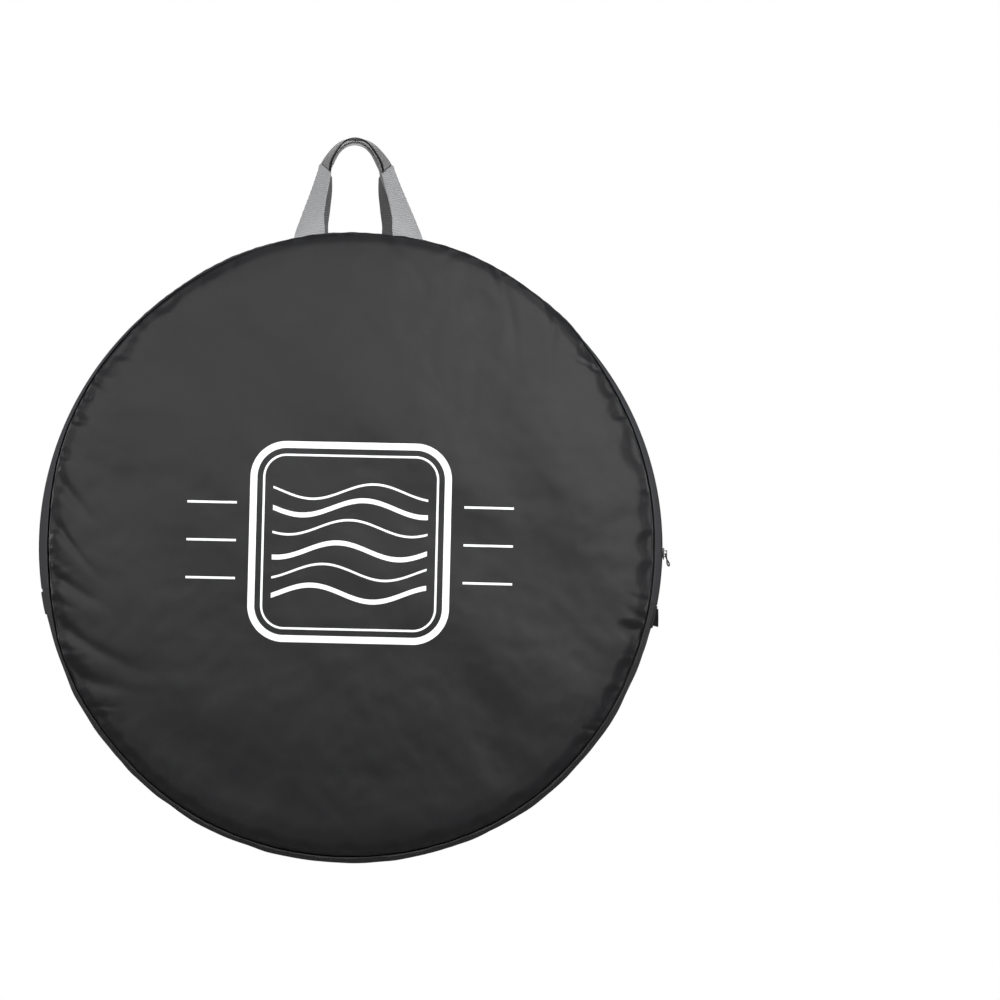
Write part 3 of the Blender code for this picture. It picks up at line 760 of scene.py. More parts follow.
# Places where the cloth is pressed in beside the seam: angle, half length along the seam,
# reach inwards and depth in millimetres
FRONT_PRESSED = (
    (40, 18, 8, 2.4), (32.5, 16, 14, 3.2), (28, 16, 18, 3.6), (19.4, 30, 21, 4.0),
    (7, 24, 15, 3.4), (1, 22, 20, 3.8), (-5, 24, 17, 3.6), (-16, 15, 31, 3.4),
    (-24, 22, 13, 3.2), (-29, 18, 14, 3.4), (128.5, 22, 14, 3.4), (140, 22, 20, 3.8),
    (145, 14, 22, 3.2), (118, 14, 8, 2.6), (156.5, 9, 20, 2.8), (152, 9, 9, 2.4),
    (164, 8, 8, 2.4), (170, 14, 14, 2.6), (178, 14, 10, 2.4), (188, 10, 10, 2.4),
    (207, 18, 19, 3.2), (216, 12, 12, 2.8), (226, 16, 10, 2.8), (233, 9, 9, 2.8),
    (240, 16, 13, 3.2), (248, 10, 9, 2.8), (255, 18, 13, 3.2), (263, 12, 9, 2.8),
    (271, 14, 14, 3.2), (279, 12, 8, 2.8), (287, 16, 13, 3.2), (296, 12, 9, 2.8),
    (304, 16, 12, 3.2), (313, 14, 10, 2.8), (320, 12, 10, 2.8),
)


def rear_pressed(seed):
    draw = random.Random(seed)
    return [(angle + draw.uniform(-4, 4), draw.uniform(8, 20), draw.uniform(7, 22),
             draw.uniform(2.0, 3.4)) for angle in range(0, 360, 12)]


def round_places(x, z, middle):
    """How far round from an angle places lie, in radians, and how far inside the seam."""
    along = (np.arctan2(z, x) - middle + math.pi) % (2 * math.pi) - math.pi
    return along, np.clip(FACE_RADIUS - np.hypot(x, z), 0, 1)


def pressed_relief(x, z, places):
    """How far the cloth is pressed in beside the seam: flat facets with scalloped edges."""
    depth = np.zeros_like(x)
    for middle, half, reach, deep in places:
        along, inset = round_places(x, z, math.radians(middle))
        share = 1 - np.hypot(along * FACE_RADIUS * 1000 / half, inset * 1000 / reach)
        depth = np.maximum(depth, np.clip(share, 0, 1) * deep * 1.35 / 1000)
    return depth


def gathers(seed, count, deepest):
    """Short creases that run in from the seam: place round it, width, length, depth, slant."""
    draw = random.Random(seed)
    found = []
    for _ in range(count):
        angle = draw.uniform(-math.pi, math.pi)
        strong = 0.35 + 0.65 * (0.5 + 0.5 * math.sin(2 * angle + 0.6)) ** 1.5
        found.append((
            angle, draw.uniform(0.0022, 0.0060), draw.uniform(0.008, 0.036) * (0.5 + strong / 2),
            deepest * draw.uniform(0.3, 1.0) * strong, draw.uniform(-0.9, 0.9),
        ))
    return found


def gather_relief(x, z, creases):
    """How far the creases pull the cloth in, at every place of a panel."""
    depth = np.zeros_like(x)
    for middle, width, length, deep, slant in creases:
        along, inset = round_places(x, z, middle)
        along = along * FACE_RADIUS - slant * inset
        fade = np.clip(1 - inset / length, 0, 1) ** 1.5
        valley = np.exp(-((along / width) ** 2))
        ridge = np.exp(-(((along - 2.2 * width) / width / 1.5) ** 2))
        depth += deep * fade * (valley - 0.28 * ridge)
    return depth


def broad_dents(x, z, seed, amount):
    """The soft unevenness of padding that has been packed and pressed."""
    return amount * np.array([
        lump((a + b) * 7, (a - b) * 3, seed) + 0.20 * lump((a + b) * 17, (a - b) * 9, seed + 5)
        + 0.03 * lump(a * 48, b * 48, seed + 9) for a, b in zip(x, z)
    ])


# From the face over the rim to the back, as (radius, distance from the middle plane), and
# then the radii of the rings across the back
RIM_PATH = (
    (0.3674, 0.0529), (0.3682, 0.0523), (0.3689, 0.0515), (0.3694, 0.0505), (0.3697, 0.0493),
    (0.3698, 0.0470), (0.3698, 0.0440), (0.3697, 0.0418), (0.3691, 0.0410), (0.3684, 0.0416),
    (0.3682, 0.0445), (0.3679, 0.0485),
)
BACK_RADII = (
    0.365, 0.355, 0.340, 0.315, 0.275, 0.235, 0.205, 0.185, 0.168, 0.150, 0.135, 0.120,
    0.106, 0.093, 0.084, 0.076, 0.068, 0.060, 0.052, 0.044, 0.036, 0.028, 0.020, 0.012,
)
RIM_LEVEL = 0.0531
PANEL_CELLS, LINING_CELLS, CREASES = 224, 96, 130


def quilted_panel(name, side, turn, seed, material, relief):
    """A round padded panel: gathered cloth in front, an even back, and a turned-in rim."""
    u, v, faces, border = round_grid(PANEL_CELLS)
    x, z = u * FACE_RADIUS, v * FACE_RADIUS
    r, face_points = np.hypot(x, z), len(x)
    c, s = math.cos(turn), math.sin(turn)
    blown = np.array([relief(a * c - b * s, a * s + b * c) for a, b in zip(x, z)])
    creases = gathers(seed, CREASES, 0.0017)
    if side < 0:
        creases += [(math.radians(a), w / 1000, l / 1000, 1.25 * d / 1000, s)
                    for a, w, l, d, s in FRONT_FOLDS]
    pressed = FRONT_PRESSED if side < 0 else rear_pressed(seed)

    # The face: an even crown that swells a little before the seam, blown out and dented
    calm = np.clip((FACE_RADIUS - r) / 0.05, 0, 1)
    swell = np.clip((FACE_RADIUS + 0.004 - r) / 0.014, 0, 1) * np.clip((r - 0.28) / 0.06, 0, 1)
    height = PANEL_LEVEL + crown_height(r) - 0.0006 + 0.0022 * swell
    height += blown * 1.1 + broad_dents(x, z, seed, 0.0034) * calm
    height -= gather_relief(x, z, creases) + pressed_relief(x, z, pressed)
    around = np.arctan2(z[border], x[border])
    pull = (gather_relief(x[border], z[border], creases)
            + 0.6 * pressed_relief(x[border], z[border], pressed))

    # In front it stands out at the upper right, and its seam is drawn in at the upper left
    if side < 0:
        aside = np.degrees(np.arctan2(z, x)) - 22
        height += 0.0050 * np.exp(-((r - 0.276) / 0.042) ** 2 - (aside / 24) ** 2)
        pull += 0.0060 * np.exp(-((np.degrees(around) - 135) / 16) ** 2)
    height = np.maximum(height, PANEL_LEVEL + back_height(r) + 0.0006)

    # The rim follows the creases and wavers a little, less and less towards the back
    waver = np.array([
        1.5 * lump(5 * math.cos(t), 5 * math.sin(t), seed)
        + lump(30 * math.cos(t), 30 * math.sin(t), seed) for t in around
    ])
    lift = height[border] - RIM_LEVEL
    height += 0.0016 * (np.clip(z / r.max(), 0, 1) ** 3 * np.clip((r - 0.32) / 0.04, 0, 1))
    points = [hang(np.stack([x, side * height, z + CENTRE.z], 1), limit=1.0)]
    ring, count = border.tolist(), face_points
    back = tuple((reach, PANEL_LEVEL + float(back_height(reach))) for reach in BACK_RADII)
    for index, (reach, high) in enumerate(RIM_PATH + back):
        near = max(0.0, 1 - index / 6)
        radius = reach - near * (0.0009 + 0.0012 * waver + 0.35 * np.clip(pull, 0, 1))
        on_rim = index < len(RIM_PATH)
        limit = LIP_LIMIT + 0.008 * on_rim * smooth_step((high - 0.0495) / 0.0012)
        points.append(hang(np.stack([
            radius * np.cos(around), side * (high + near * lift),
            radius * np.sin(around) + CENTRE.z], 1), limit=limit))
        following = list(range(count, count + len(ring)))
        count += len(ring)
        for i in range(len(ring)):
            j = (i + 1) % len(ring)
            faces.append((ring[i], ring[j], following[j], following[i]))
        ring = following
    points.append(np.array([[0, side * back[-1][1], CENTRE.z]]))
    faces += [(ring[i], ring[(i + 1) % len(ring)], count) for i in range(len(ring))]
    piece = mesh_piece(name, np.concatenate(points), faces)
    finish_mesh(piece, material, 60, flat_cloth_places)
    if side < 0:
        on_face = [(float(k < face_points), 0) for k in range(len(piece.data.vertices))]
        give_cloth_places(piece, on_face, "face")
    return piece


def section_points(y, radius, angle):
    """A strip's section, stood round the bag at an angle."""
    return np.stack([radius * math.cos(angle), y, radius * math.sin(angle) + CENTRE.z], 1)


def strip_piece(name, rows, material):
    """A skin over a row of closed sections, closed at both ends."""
    n, steps = len(rows[0]), len(rows) - 1
    faces = [
        (k * n + i, k * n + (i + 1) % n, (k + 1) * n + (i + 1) % n, (k + 1) * n + i)
        for k in range(steps) for i in range(n)
    ]
    faces += [tuple(range(n)), tuple(range(steps * n, (steps + 1) * n))]
    piece = mesh_piece(name, np.concatenate(rows), faces)
    return finish_mesh(piece, material, 50, round_cloth_places)


def padded_strip(name, section, side, span, steps, material, seed, ruffle=1.0):
    """A padded strip round the bag, a little ruffled along its sewn edges."""
    y, radius = np.array(section).T
    outer = np.clip((radius - gusset_radius(y) + 0.0025) / 0.0025, 0, 1)
    edge = np.clip((np.abs(y) - 0.034) / 0.013, 0, 1)
    flare = (np.abs(y) / LIP_EDGE) ** 3
    rows = []
    for angle in np.linspace(*span, steps + 1):
        a, b = 9 * math.cos(angle), 9 * math.sin(angle)
        wave = np.array([lump(a * 1.3, b * 1.3, seed + 60 * t) for t in y])
        fine = np.array([lump(a * 6, b * 6, seed + 150 * t) for t in y])
        r = radius + outer * ruffle * (0.0005 * wave + 0.00045 * edge * fine)
        rows.append(hang(section_points(side * y, r, angle), flare, 0.6 + 0.4 * flare))
    piece = strip_piece(name, rows, material)
    return piece


cloth_relief = sewn_cloth_relief()
front_panel = quilted_panel("front_panel", -1, 0.0, 4, PRINTED_NYLON, cloth_relief)
put(front_panel, None, "shell_nylon", "front_upper_shell", "front_upper_foam",
    "front_lower_shell", "front_lower_foam")
rear_panel = quilted_panel("rear_panel", 1, 2.3, 11, PLAIN_NYLON, cloth_relief)
put(rear_panel, "bag_body", "shell_nylon", "rear_panel_shell", "rear_panel_foam")

gussets = []
for (part, side, body), seed in zip(SIDES, (2, 8)):
    gussets.append(padded_strip(
        f"{part}_zip_gusset", half_gusset_section(), side, ZIP_SPAN, 440, GUSSET_NYLON, seed))
    put(gussets[-1], body, "shell_nylon", f"{part}_band_shell", f"{part}_band_foam")
base_strip = padded_strip("base_strip", base_section(), 1, BASE_SPAN, 360, BASE_CLOTH, 5, 2.4)
put(base_strip, "bag_body", "base_cloth", "base_gusset_shell", "base_gusset_foam")


# Linings

LINING_RADIUS, LINING_THICKNESS = 0.3645, 0.0006


def lining_disc(name, side, seed):
    """The lining of a panel, a thin sheet stretched over the padding."""
    u, v, faces, border = round_grid(LINING_CELLS)
    x, z = u * LINING_RADIUS, v * LINING_RADIUS
    ripple = gather_relief(x, z, gathers(seed, 60, 0.0008))
    base = PANEL_LEVEL + crown_height(np.hypot(x, z), 0.3665, 0.0113, 0.9) - ripple * 0.5
    outer = np.stack([x, side * base, z + CENTRE.z], 1)
    inner = outer - np.array([0, side * LINING_THICKNESS, 0])
    count = len(outer)
    faces += [tuple(count + i for i in reversed(face)) for face in faces]
    rim = border.tolist()
    for point, after in zip(rim, rim[1:] + rim[:1]):
        faces.append((point, count + point, count + after, after))
    piece = mesh_piece(name, hang(np.concatenate([outer, inner])), faces)
    return finish_mesh(piece, LINING_CLOTH, 60, flat_cloth_places)


def lining_strip(name, side, low, high, span, steps):
    """The lining of a gusset strip, with a slight ruffle."""
    across = between(low, high, 9)
    y = np.array(across + across[::-1])
    drop = np.array([0.0055] * 9 + [0.0055 + LINING_THICKNESS] * 9)
    rows = []
    for angle in np.linspace(*span, steps + 1):
        wave = 0.0004 * lump(30 * math.cos(angle), 30 * math.sin(angle), side)
        r = gusset_radius(y) - drop - abs(wave)
        rows.append(hang(section_points(side * y, r, angle), 0.0, 0.6))
    return strip_piece(name, rows, LINING_CLOTH)


front_lining = lining_disc("front_lining", -1, 21)
put(front_lining, None, "lining_cloth", "front_upper_lining", "front_lower_lining")
rear_lining = lining_disc("rear_lining", 1, 22)
put(rear_lining, "bag_body", "lining_cloth", "rear_panel_lining")

for (part, side, body), gusset in zip(SIDES, gussets):
    lining = lining_strip(f"{part}_gusset_lining", side, 0.0112, 0.0400, ZIP_SPAN, 200)
    put(lining, body, "lining_cloth", f"{part}_band_lining")
base_lining = lining_strip("base_lining", 1, -0.0400, 0.0400, BASE_SPAN, 160)
put(base_lining, "bag_body", "lining_cloth", "base_gusset_lining")


# Strips and stitches round the bag, spun from one section


def spun(name, section, span, steps, material):
    """A closed section of (y, radius) points, spun round the bag's axis."""
    start, stop = span
    full = abs(stop - start - 2 * math.pi) < 1e-6
    piece = primitive(name, bpy.ops.mesh.primitive_circle_add, vertices=len(section),
                      radius=0.01, fill_type="NOTHING" if full else "NGON")
    for vertex, (y, r) in zip(piece.data.vertices, section):
        vertex.co = CENTRE + Vector((r * math.cos(start), y, r * math.sin(start)))
    bpy.ops.object.mode_set(mode="EDIT")
    bpy.ops.mesh.select_all(action="SELECT")
    bpy.ops.mesh.spin(
        steps=steps, angle=stop - start, center=CENTRE, axis=(0, 1, 0), use_auto_merge=full
    )
    bpy.ops.object.mode_set(mode="OBJECT")
    return finish_mesh(piece, material, places=round_cloth_places)


def rounded_section(y_from, y_to, r_from, r_to, corner):
    """A rectangle with rounded corners, as (y, radius) points."""
    section = []
    for y, r, first in (
        (y_to - corner, r_to - corner, 0), (y_from + corner, r_to - corner, 1),
        (y_from + corner, r_from + corner, 2), (y_to - corner, r_from + corner, 3),
    ):
        for k in range(3):
            angle = (first + k / 2) * math.pi / 2
            section.append((y + corner * math.cos(angle), r + corner * math.sin(angle)))
    return section


THREAD_WIDTH = 0.0008


def stitch_row(name, y, radius, start, stop, pitch, length=0.0026):
    """A row of lockstitches round the bag, each a small flattened bead of thread."""
    piece = primitive(
        name, bpy.ops.mesh.primitive_uv_sphere_add, segments=6, ring_count=4, radius=0.5)
    piece.scale = (THREAD_WIDTH * 0.7, THREAD_WIDTH, length)
    piece.location = (radius, y, 0)
    bpy.ops.object.transform_apply()
    count = int((stop - start) * radius / pitch)
    repeat_round(piece, start + pitch / radius / 2, pitch / radius, count)
    return finish_mesh(piece, DARK_THREAD)


TAPE = rounded_section(0.00045, 0.0154, 0.3783, 0.3788, 0.00024)
HEM_STITCH_Y, HEM_STITCH_PITCH = 0.0122, 0.0034
for part, side, body in SIDES:
    tape = spun(f"{part}_tape", mirrored(TAPE, side), ZIP_SPAN, 300, TAPE_CLOTH)
    put(tape, body, "zip_tape_cloth", f"{part}_zip_tape")
    stitches = stitch_row(
        f"{part}_hem_stitching", side * HEM_STITCH_Y, gusset_radius(HEM_STITCH_Y) + 0.0002,
        *ZIP_SPAN, HEM_STITCH_PITCH)
    put(stitches, body, "shell_nylon")


COIL_PITCH, COIL_RADIUS, COIL_Y = 0.0020, 0.3802, 0.00135
COIL_BAR = (0.0018, 0.0037, 0.00098)


def coil_elements(name, side, shift):
    """One side of the coil: small bars that reach a little past the middle of the zip."""
    piece = primitive(name, bpy.ops.mesh.primitive_cube_add, size=1)
    piece.scale = COIL_BAR
    piece.location = (COIL_RADIUS, side * COIL_Y, 0)
    bpy.ops.object.transform_apply()
    bpy.ops.object.mode_set(mode="EDIT")
    bpy.ops.mesh.select_all(action="SELECT")
    bpy.ops.mesh.bevel(offset=0.00028, segments=1, affect="EDGES")
    bpy.ops.object.mode_set(mode="OBJECT")
    count = int((ZIP_SPAN[1] - ZIP_SPAN[0]) * BAG_RADIUS / COIL_PITCH) - 2
    repeat_round(piece, ZIP_SPAN[0] + shift / BAG_RADIUS, COIL_PITCH / BAG_RADIUS, count)
    return finish_mesh(piece, COIL_NYLON, 30)


for (part, side, body), shift in zip(SIDES, (0.0010, 0.0020)):
    put(coil_elements(f"{part}_coil", side, shift), body, "zip_coil", f"{part}_zip_coil")

BINDING = rounded_section(0.0466, 0.0496, 0.3578, 0.3674, 0.0012)
for name, side, span, steps, body, node in (
    ("upper_front_binding", -1, ZIP_SPAN, 240, None, "front_upper_binding"),
    ("lower_front_binding", -1, BASE_SPAN, 200, "bag_body", "front_lower_binding"),
    ("rear_seam_binding", 1, (-math.pi / 2, 1.5 * math.pi), 400, "bag_body", "rear_binding"),
):
    ring = spun(name, mirrored(BINDING, side), span, steps, BINDING_CLOTH)
    move_vertices(ring, hang(vertex_places(ring)))
    put(ring, body, "seam_binding", node)


# Handles

WEBBING_WIDTH, WEBBING_THICKNESS = 0.038, 0.0015
GRIP_WIDTH, CURL = 0.0205, 0.0008
FOOT_OFFSET, ARCH_START = 0.061, 0.102
FOOT_Y, SEAM_Y, FOOT_RADIUS = 0.052, 0.0490, 0.375
FOOT_HEIGHT = math.sqrt(FOOT_RADIUS**2 - FOOT_OFFSET**2)
SEAM_LEAN = math.asin(FOOT_OFFSET / 0.373)
LEG_SHARE, FOOT_SHARE = 0.55, 0.06
CREASE_TURN = 7
STRAP_LENGTH = 0.37

# Places up a leg and round the arch, as shares of them, and the strap's width up a leg
LEG_STATIONS = (-0.2, 0.0, 0.25, 0.5, 0.72, 0.87, 1.0)
ARCH_STATIONS = (0, 0.2, 0.35, 0.5, 0.67, 1.0)
LEG_WIDTHS = (0.038, 0.038, 0.0375, 0.0330, 0.0280, 0.0250, 0.0220)


def eased(s, values):
    """A value read off a table of leg stations, with its corners softened."""
    return sum(float(np.interp(s + d, LEG_STATIONS, values)) for d in (-0.06, 0, 0.06)) / 3


class StrapRoute(NamedTuple):
    """Where one handle runs: from its foot in the seam, up a leg and over a rounded arch."""

    side: int
    length: float
    lean: float
    offsets: tuple
    turns: tuple
    arch_turns: tuple
    pointed: float
    foot_drift: float
    top_drift: float

    def middle(self, t):
        """Half of the handle's spread and its height above the seam, at a share t of it."""
        s = min(1.0, t / LEG_SHARE)
        offset = eased(s, self.offsets)
        if t < LEG_SHARE:
            return offset, ARCH_START * s
        angle = (t - LEG_SHARE) / (1 - LEG_SHARE) * math.pi / 2
        spread = math.cos(angle) * (1 - self.pointed * math.sin(2 * angle))
        return offset * spread, ARCH_START + (self.length - ARCH_START) * math.sin(angle)

    def turn(self, t, share):
        """How far the strap has turned towards the grip; it creases on a slant at the fold."""
        if t < LEG_SHARE:
            turned = eased(t / LEG_SHARE, self.turns)
        else:
            arch = (t - LEG_SHARE) / (1 - LEG_SHARE)
            turned = float(np.interp(arch, ARCH_STATIONS, self.arch_turns))
        return math.radians(turned + CREASE_TURN * smooth_step(self.past_crease(t, share) / 0.012))

    def past_crease(self, t, share):
        """How far along the strap a place lies past the slanting crease of the fold."""
        return t - LEG_SHARE * 0.88 - 0.078 * min(1.0, share * WEBBING_WIDTH / GRIP_WIDTH)

    def point(self, share, t, hand):
        """A place on the strap: its outer edge curls under until it is folded in two."""
        s = min(1.0, t / LEG_SHARE)
        offset, height = self.middle(t)
        before, after = self.middle(max(-0.1, t - 0.01)), self.middle(min(1.0, t + 0.01))
        along = Vector((after[0] - before[0], after[1] - before[1])).normalized()
        if t > 0.985:
            along = Vector((-1, 0))
        turn, width = self.turn(t, share), eased(s, LEG_WIDTHS)
        side, lean = self.side, self.lean
        up = Vector((0, -side * math.sin(lean), math.cos(lean)))
        back = Vector((0, -side * math.cos(lean), -math.sin(lean)))
        sideways = Vector((hand, 0, 0))
        seam = smooth_step(height / 0.014)
        foot = Vector((0, side * (SEAM_Y + (FOOT_Y - SEAM_Y) * seam), FOOT_HEIGHT))
        centre = CENTRE + foot + sideways * offset + up * height
        centre.x += self.foot_drift + (self.top_drift - self.foot_drift) * height / self.length
        outward = sideways * along.y - up * along.x
        flat_outward = sideways * math.cos(SEAM_LEAN) - up * math.sin(SEAM_LEAN)
        blend = smooth_step(s * 1.6)
        outward = (flat_outward * (1 - blend) + outward * blend).normalized()
        across = outward * math.cos(turn) + back * math.sin(turn)
        forward = (sideways * along.x + up * along.y).normalized()
        normal = across.cross(forward).normalized() * -hand * side
        run = share * WEBBING_WIDTH
        bend = min(math.pi, max(0.0, run - width) / CURL)
        under = max(0.0, run - width - math.pi * CURL)
        x = -width / 2 + min(run, width) + CURL * math.sin(bend) - under
        depth = CURL * (1 - math.cos(bend))
        return centre + across * x + normal * (CURL * smooth_step(s) - depth)


def webbing_handle(name, route):
    """A strap modelled flat as a fine grid, then laid along its route and given its thickness."""
    piece = primitive(name, bpy.ops.mesh.primitive_grid_add,
                      x_subdivisions=28, y_subdivisions=300, size=1)
    places, grip = [], []
    for vertex in piece.data.vertices:
        share, v = vertex.co.x + 0.5, vertex.co.y + 0.5
        hand = -1 if v < 0.5 else 1
        t = 2 * v if v < 0.5 else 2 * (1 - v)
        t = t * (1 + FOOT_SHARE) - FOOT_SHARE
        past = route.past_crease(t, share)
        slanted = smooth_step(past / 0.02) * share * WEBBING_WIDTH * 0.6
        places.append((share * WEBBING_WIDTH, v * STRAP_LENGTH + slanted * hand))
        grip.append((smooth_step(past / 0.014) if route.side < 0 else 0.0, 0))
        vertex.co = route.point(share, t, hand)
    give_cloth_places(piece, places)
    give_cloth_places(piece, grip, "grip")
    faces = len(piece.data.polygons)
    solid = piece.modifiers.new("thickness", "SOLIDIFY")
    solid.thickness, solid.offset, solid.use_even_offset = WEBBING_THICKNESS, 0, False
    bake_modifiers(piece)
    finish_mesh(piece, GREY_WEBBING, 50)
    # Painted shade: the face of each strap towards the bag's middle gets the darker copy of the
    # webbing.
    piece.data.materials.append(SHADED_WEBBING_BACK)
    for polygon in piece.data.polygons:
        shell = polygon.index // faces
        polygon.material_index = int(shell == int(route.side > 0))
    return piece


ROUTES = (
    StrapRoute(
        side=-1, length=0.1385, lean=math.radians(19.5),
        offsets=(0.0635, 0.0607, 0.0574, 0.0505, 0.0438, 0.0398, 0.0362),
        turns=(0, 0, 36, 43, 43, 43, 43), arch_turns=(43, 46.4, 49, 51.5, 54.4, 60),
        pointed=0.16, foot_drift=0.0018, top_drift=-0.0062),
    StrapRoute(
        side=1, length=0.1362, lean=math.radians(21.5),
        offsets=(0.0541, 0.0522, 0.0494, 0.0427, 0.0366, 0.0336, 0.0305),
        turns=(0, 0, 36, 43, 52, 66, 79), arch_turns=(79, 88, 87, 83, 80, 76),
        pointed=0.08, foot_drift=-0.0050, top_drift=-0.0066),
)
for (part, side, body), route in zip(SIDES, ROUTES):
    handle = webbing_handle(f"{part}_strap_handle", route)
    body or "front_flap"
    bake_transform(handle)
    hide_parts(f"{part}_handle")

STRAP_END_TURN, STRAP_END_HALF = 0.1643, 0.0509
for part, side, body in SIDES:
    for hand, middle in (("right", math.pi / 2 - STRAP_END_TURN),
                         ("left", math.pi / 2 + STRAP_END_TURN)):
        node = f"{part}_strap_end_{hand}"
        near, far = sorted(abs(corner[1]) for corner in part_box(node))
        section = rounded_section(near, far, 0.3578, 0.3662, 0.0006)
        end = spun(f"{part}_sewn_end_{hand}", mirrored(section, side),
                   (middle - STRAP_END_HALF, middle + STRAP_END_HALF), 24, SEWN_WEBBING)
        put(end, body or "front_flap", "grey_webbing", node)


# Ends of the zip

PATCH_MIDDLE, PATCH_HALF = ZIP_END + 0.0366, 0.0342
PATCH_Y, PATCH_EDGE, PATCH_STITCH_Y = 0.0176, 0.0182, 0.0150
for hand, middle in (("right", -PATCH_MIDDLE), ("left", math.pi + PATCH_MIDDLE)):
    across = between(-PATCH_Y, PATCH_Y, 9)
    top = [(y, gusset_radius(y) + 0.0018 - 0.0008 * (abs(y) > 0.017)) for y in across]
    bottom = [(y, gusset_radius(y) + 0.0001) for y in reversed(across)]
    edge = [(PATCH_EDGE, gusset_radius(PATCH_EDGE) + 0.0004)]
    patch = spun(f"zip_end_cover_{hand}", top + edge + bottom + mirrored(edge, -1),
                 (middle - PATCH_HALF, middle + PATCH_HALF), 14, BASE_CLOTH)
    put(patch, "bag_body", "base_cloth", f"zip_end_patch_{hand}")
    for part, side, _ in SIDES:
        y = side * PATCH_STITCH_Y
        stitches = stitch_row(
            f"{part}_cover_stitching_{hand}", y, gusset_radius(y) + 0.0019,
            middle - PATCH_HALF + 0.004, middle + PATCH_HALF - 0.004, 0.0026, 0.0021)
        put(stitches, "bag_body", "base_cloth")

TAB_HALF, TAB_RADIUS = 0.0262, 0.3808


def folded_tab():
    """Webbing folded over the end of the zip: two layers, lifting towards the lower end."""
    layers = [
        (0.0110, 0.0), (0.0112, 0.0012), (0.0110, 0.0021), (0.0104, 0.00225), (0.0104, 0.00235),
        (0.0110, 0.0025), (0.0112, 0.0036), (0.0106, 0.0045),
    ]
    layers += mirrored(layers[::-1], -1)
    tab = spun("zip_end_pull_tab", [(y, TAB_RADIUS + rise) for y, rise in layers],
               (-PATCH_MIDDLE - TAB_HALF, -PATCH_MIDDLE + TAB_HALF), 14, BLACK_WEBBING)
    places = vertex_places(tab)
    x, z = places[:, 0], places[:, 2] - CENTRE.z
    r, angle = np.hypot(x, z), np.arctan2(z, x)
    lower = np.clip((-PATCH_MIDDLE + TAB_HALF - angle) / (2 * TAB_HALF), 0, 1)
    lift = (r - TAB_RADIUS) * (-0.45 + 1.05 * lower)
    places[:, 0] += lift * x / r
    places[:, 2] += lift * z / r
    move_vertices(tab, places)
    return tab


put(folded_tab(), "bag_body", "black_webbing", "zip_end_tab")


# Slider and its pull

PULL_PIVOT = 0.3843


def rounded_block(name, centre, size, bevel, segments):
    piece = primitive(name, bpy.ops.mesh.primitive_cube_add, size=1,
                      location=CENTRE + Vector(centre))
    piece.scale = size
    bpy.ops.object.transform_apply()
    modifier = piece.modifiers.new("edges", "BEVEL")
    modifier.width, modifier.segments, modifier.limit_method = bevel, segments, "NONE"
    bake_modifiers(piece)
    return piece


def slider():
    """Cast slider: a waisted top plate with turned-down sides, and a crown for the pull."""
    plate = rounded_block("zip_slider", (0.3823, 0, 0), (0.0014, 0.0110, 0.0140), 0.0005, 2)
    for vertex in plate.data.vertices:
        along = (vertex.co.z - CENTRE.z) / 0.007
        vertex.co.y *= 1 - 0.22 * smooth_step(-along) - 0.06 * along * along
    others = [
        rounded_block("side", (0.3812, s * 0.0046, 0.0008), (0.0022, 0.0011, 0.0112), 0.0003, 2)
        for s in (-1, 1)
    ]
    others.append(rounded_block("under", (0.3764, 0, 0), (0.0013, 0.0105, 0.0138), 0.0004, 2))
    others.append(rounded_block("web", (0.3794, 0, 0.0037), (0.0058, 0.0008, 0.0058), 0.0002, 1))
    crown = rounded_block("crown", (0.3850, 0, 0), (0.0034, 0.0024, 0.0085), 0.0006, 3)
    hole = rounded_block("hole", (PULL_PIVOT, 0, 0), (0.0026, 0.0060, 0.0061), 0.0008, 3)
    cut = crown.modifiers.new("hole", "BOOLEAN")
    cut.operation, cut.solver, cut.object = "DIFFERENCE", "EXACT", hole
    bake_modifiers(crown)
    bpy.data.objects.remove(hole)
    choose(plate, crown, *others)
    bpy.ops.object.join()
    return finish_mesh(plate, SLIDER_COAT, 35)


put(slider(), "zip_slider", "slider_metal", "slider_body")


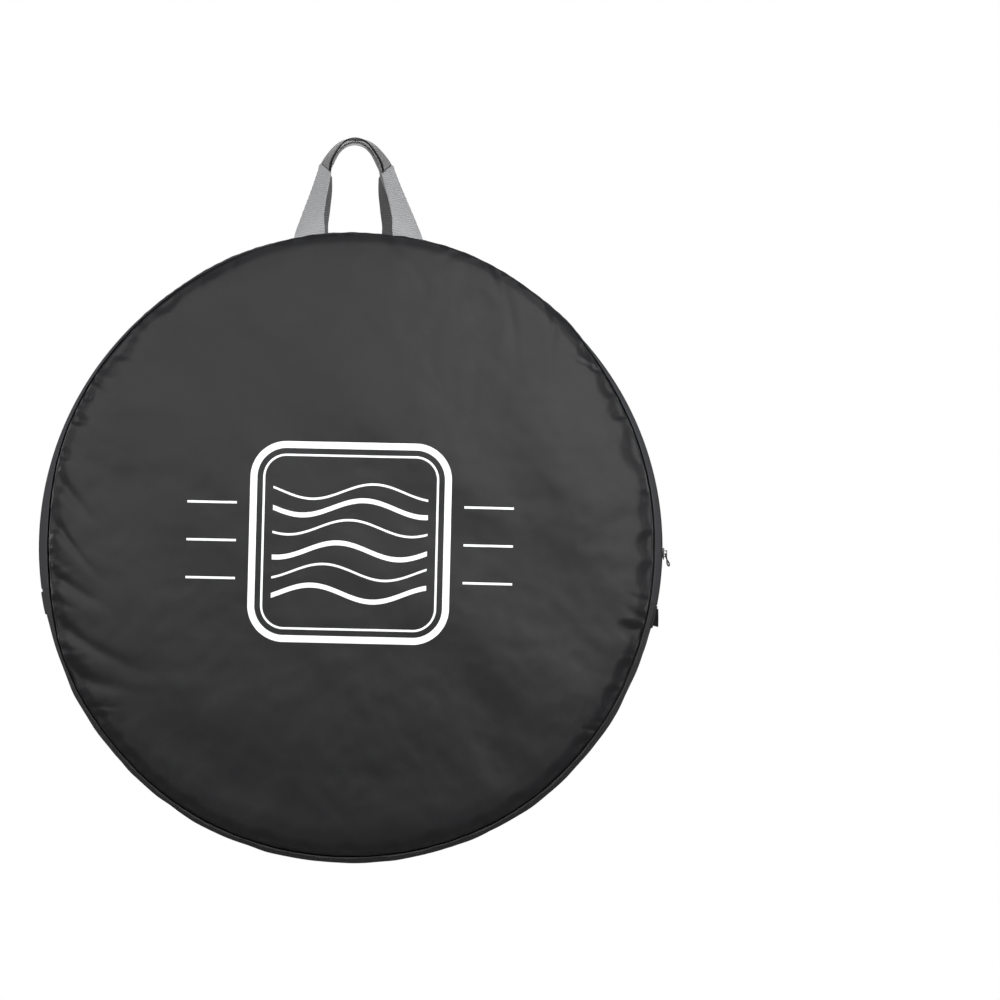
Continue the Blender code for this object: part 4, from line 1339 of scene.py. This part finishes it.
def pull_loop():
    """A loop of coated cord through the crown, that hangs and twists a little outwards."""
    hang_angle, half, reach, cord_radius = math.radians(72), 0.0031, 0.0125, 0.0009
    down = Vector((math.cos(hang_angle), 0, -math.sin(hang_angle)))
    level = Vector((0, 1, 0))
    outward = down.cross(level)
    origin = CENTRE + Vector((PULL_PIVOT, 0, 0))
    route = []

    def strand(along, across):
        twist = math.radians(28) * smooth_step((along - 0.007) / (reach - 0.007))
        sideways = level * math.cos(twist) + outward * math.sin(twist)
        route.append(origin + down * along + sideways * across)

    def leg(k, hand):
        strand(reach * k / 6, hand * half * (1 + 0.25 * math.sin(math.pi * k / 6)))

    for k in range(-2, 3):
        strand(0, half * k / 2)
    for k in range(1, 6):
        leg(k, 1)
    for k in range(1, 8):
        angle = math.pi * k / 8
        strand(reach + half * math.sin(angle), half * math.cos(angle))
    for k in range(5, 0, -1):
        leg(k, -1)
    curve = bpy.data.curves.new("pull_cord_loop", "CURVE")
    curve.dimensions, curve.bevel_depth, curve.bevel_resolution = "3D", cord_radius, 3
    spline = curve.splines.new("NURBS")
    spline.points.add(len(route) - 1)
    for point, place in zip(spline.points, route):
        point.co = (*place, 1)
    spline.use_cyclic_u, spline.order_u, spline.resolution_u = True, 3, 4
    choose(new_object("pull_cord_loop", curve))
    bpy.ops.object.convert(target="MESH")
    return finish_mesh(bpy.context.object, PULL_COAT, 60)


put(pull_loop(), "zip_pull", "pull_cord", "pull_loop")


# Hub guards

GUARD_THICKNESS = 0.0015
GUARD_LEVEL = PANEL_LEVEL + CROWN - 0.0073

# The guard's raised rim, as insets one after the other: width and depth
GUARD_INSETS = ((0.006, 0.0), (0.0012, -0.0004), (0.014, 0.0), (0.0012, 0.0004))


def hub_guard(name, side, radius):
    """A tough round patch with a raised rim, sewn to the lining where the axle rests."""
    middle = Vector((0, side * (GUARD_LEVEL - GUARD_THICKNESS / 2), 0))
    piece = primitive(
        name, bpy.ops.mesh.primitive_cylinder_add, vertices=96, radius=radius,
        depth=GUARD_THICKNESS, location=CENTRE + middle, rotation=(math.pi / 2 * side, 0, 0),
        end_fill_type="NGON")
    bpy.ops.object.transform_apply()
    for thickness, depth in GUARD_INSETS:
        for polygon in piece.data.polygons:
            polygon.select = len(polygon.vertices) > 4 and polygon.normal.y * side < -0.9
        bpy.ops.object.mode_set(mode="EDIT")
        bpy.ops.mesh.inset(thickness=thickness, depth=depth)
        bpy.ops.object.mode_set(mode="OBJECT")
    edges = piece.modifiers.new("edge", "BEVEL")
    edges.width, edges.segments, edges.angle_limit = 0.0004, 2, math.radians(50)
    bake_modifiers(piece)
    return finish_mesh(piece, GUARD_SHEET, 30, flat_cloth_places)


for (part, side, body), radius in zip(SIDES, (0.054, 0.075)):
    put(hub_guard(f"{part}_hub_patch", side, radius), body, "hub_guard", f"{part}_hub_guard")


bpy.context.view_layer.update()
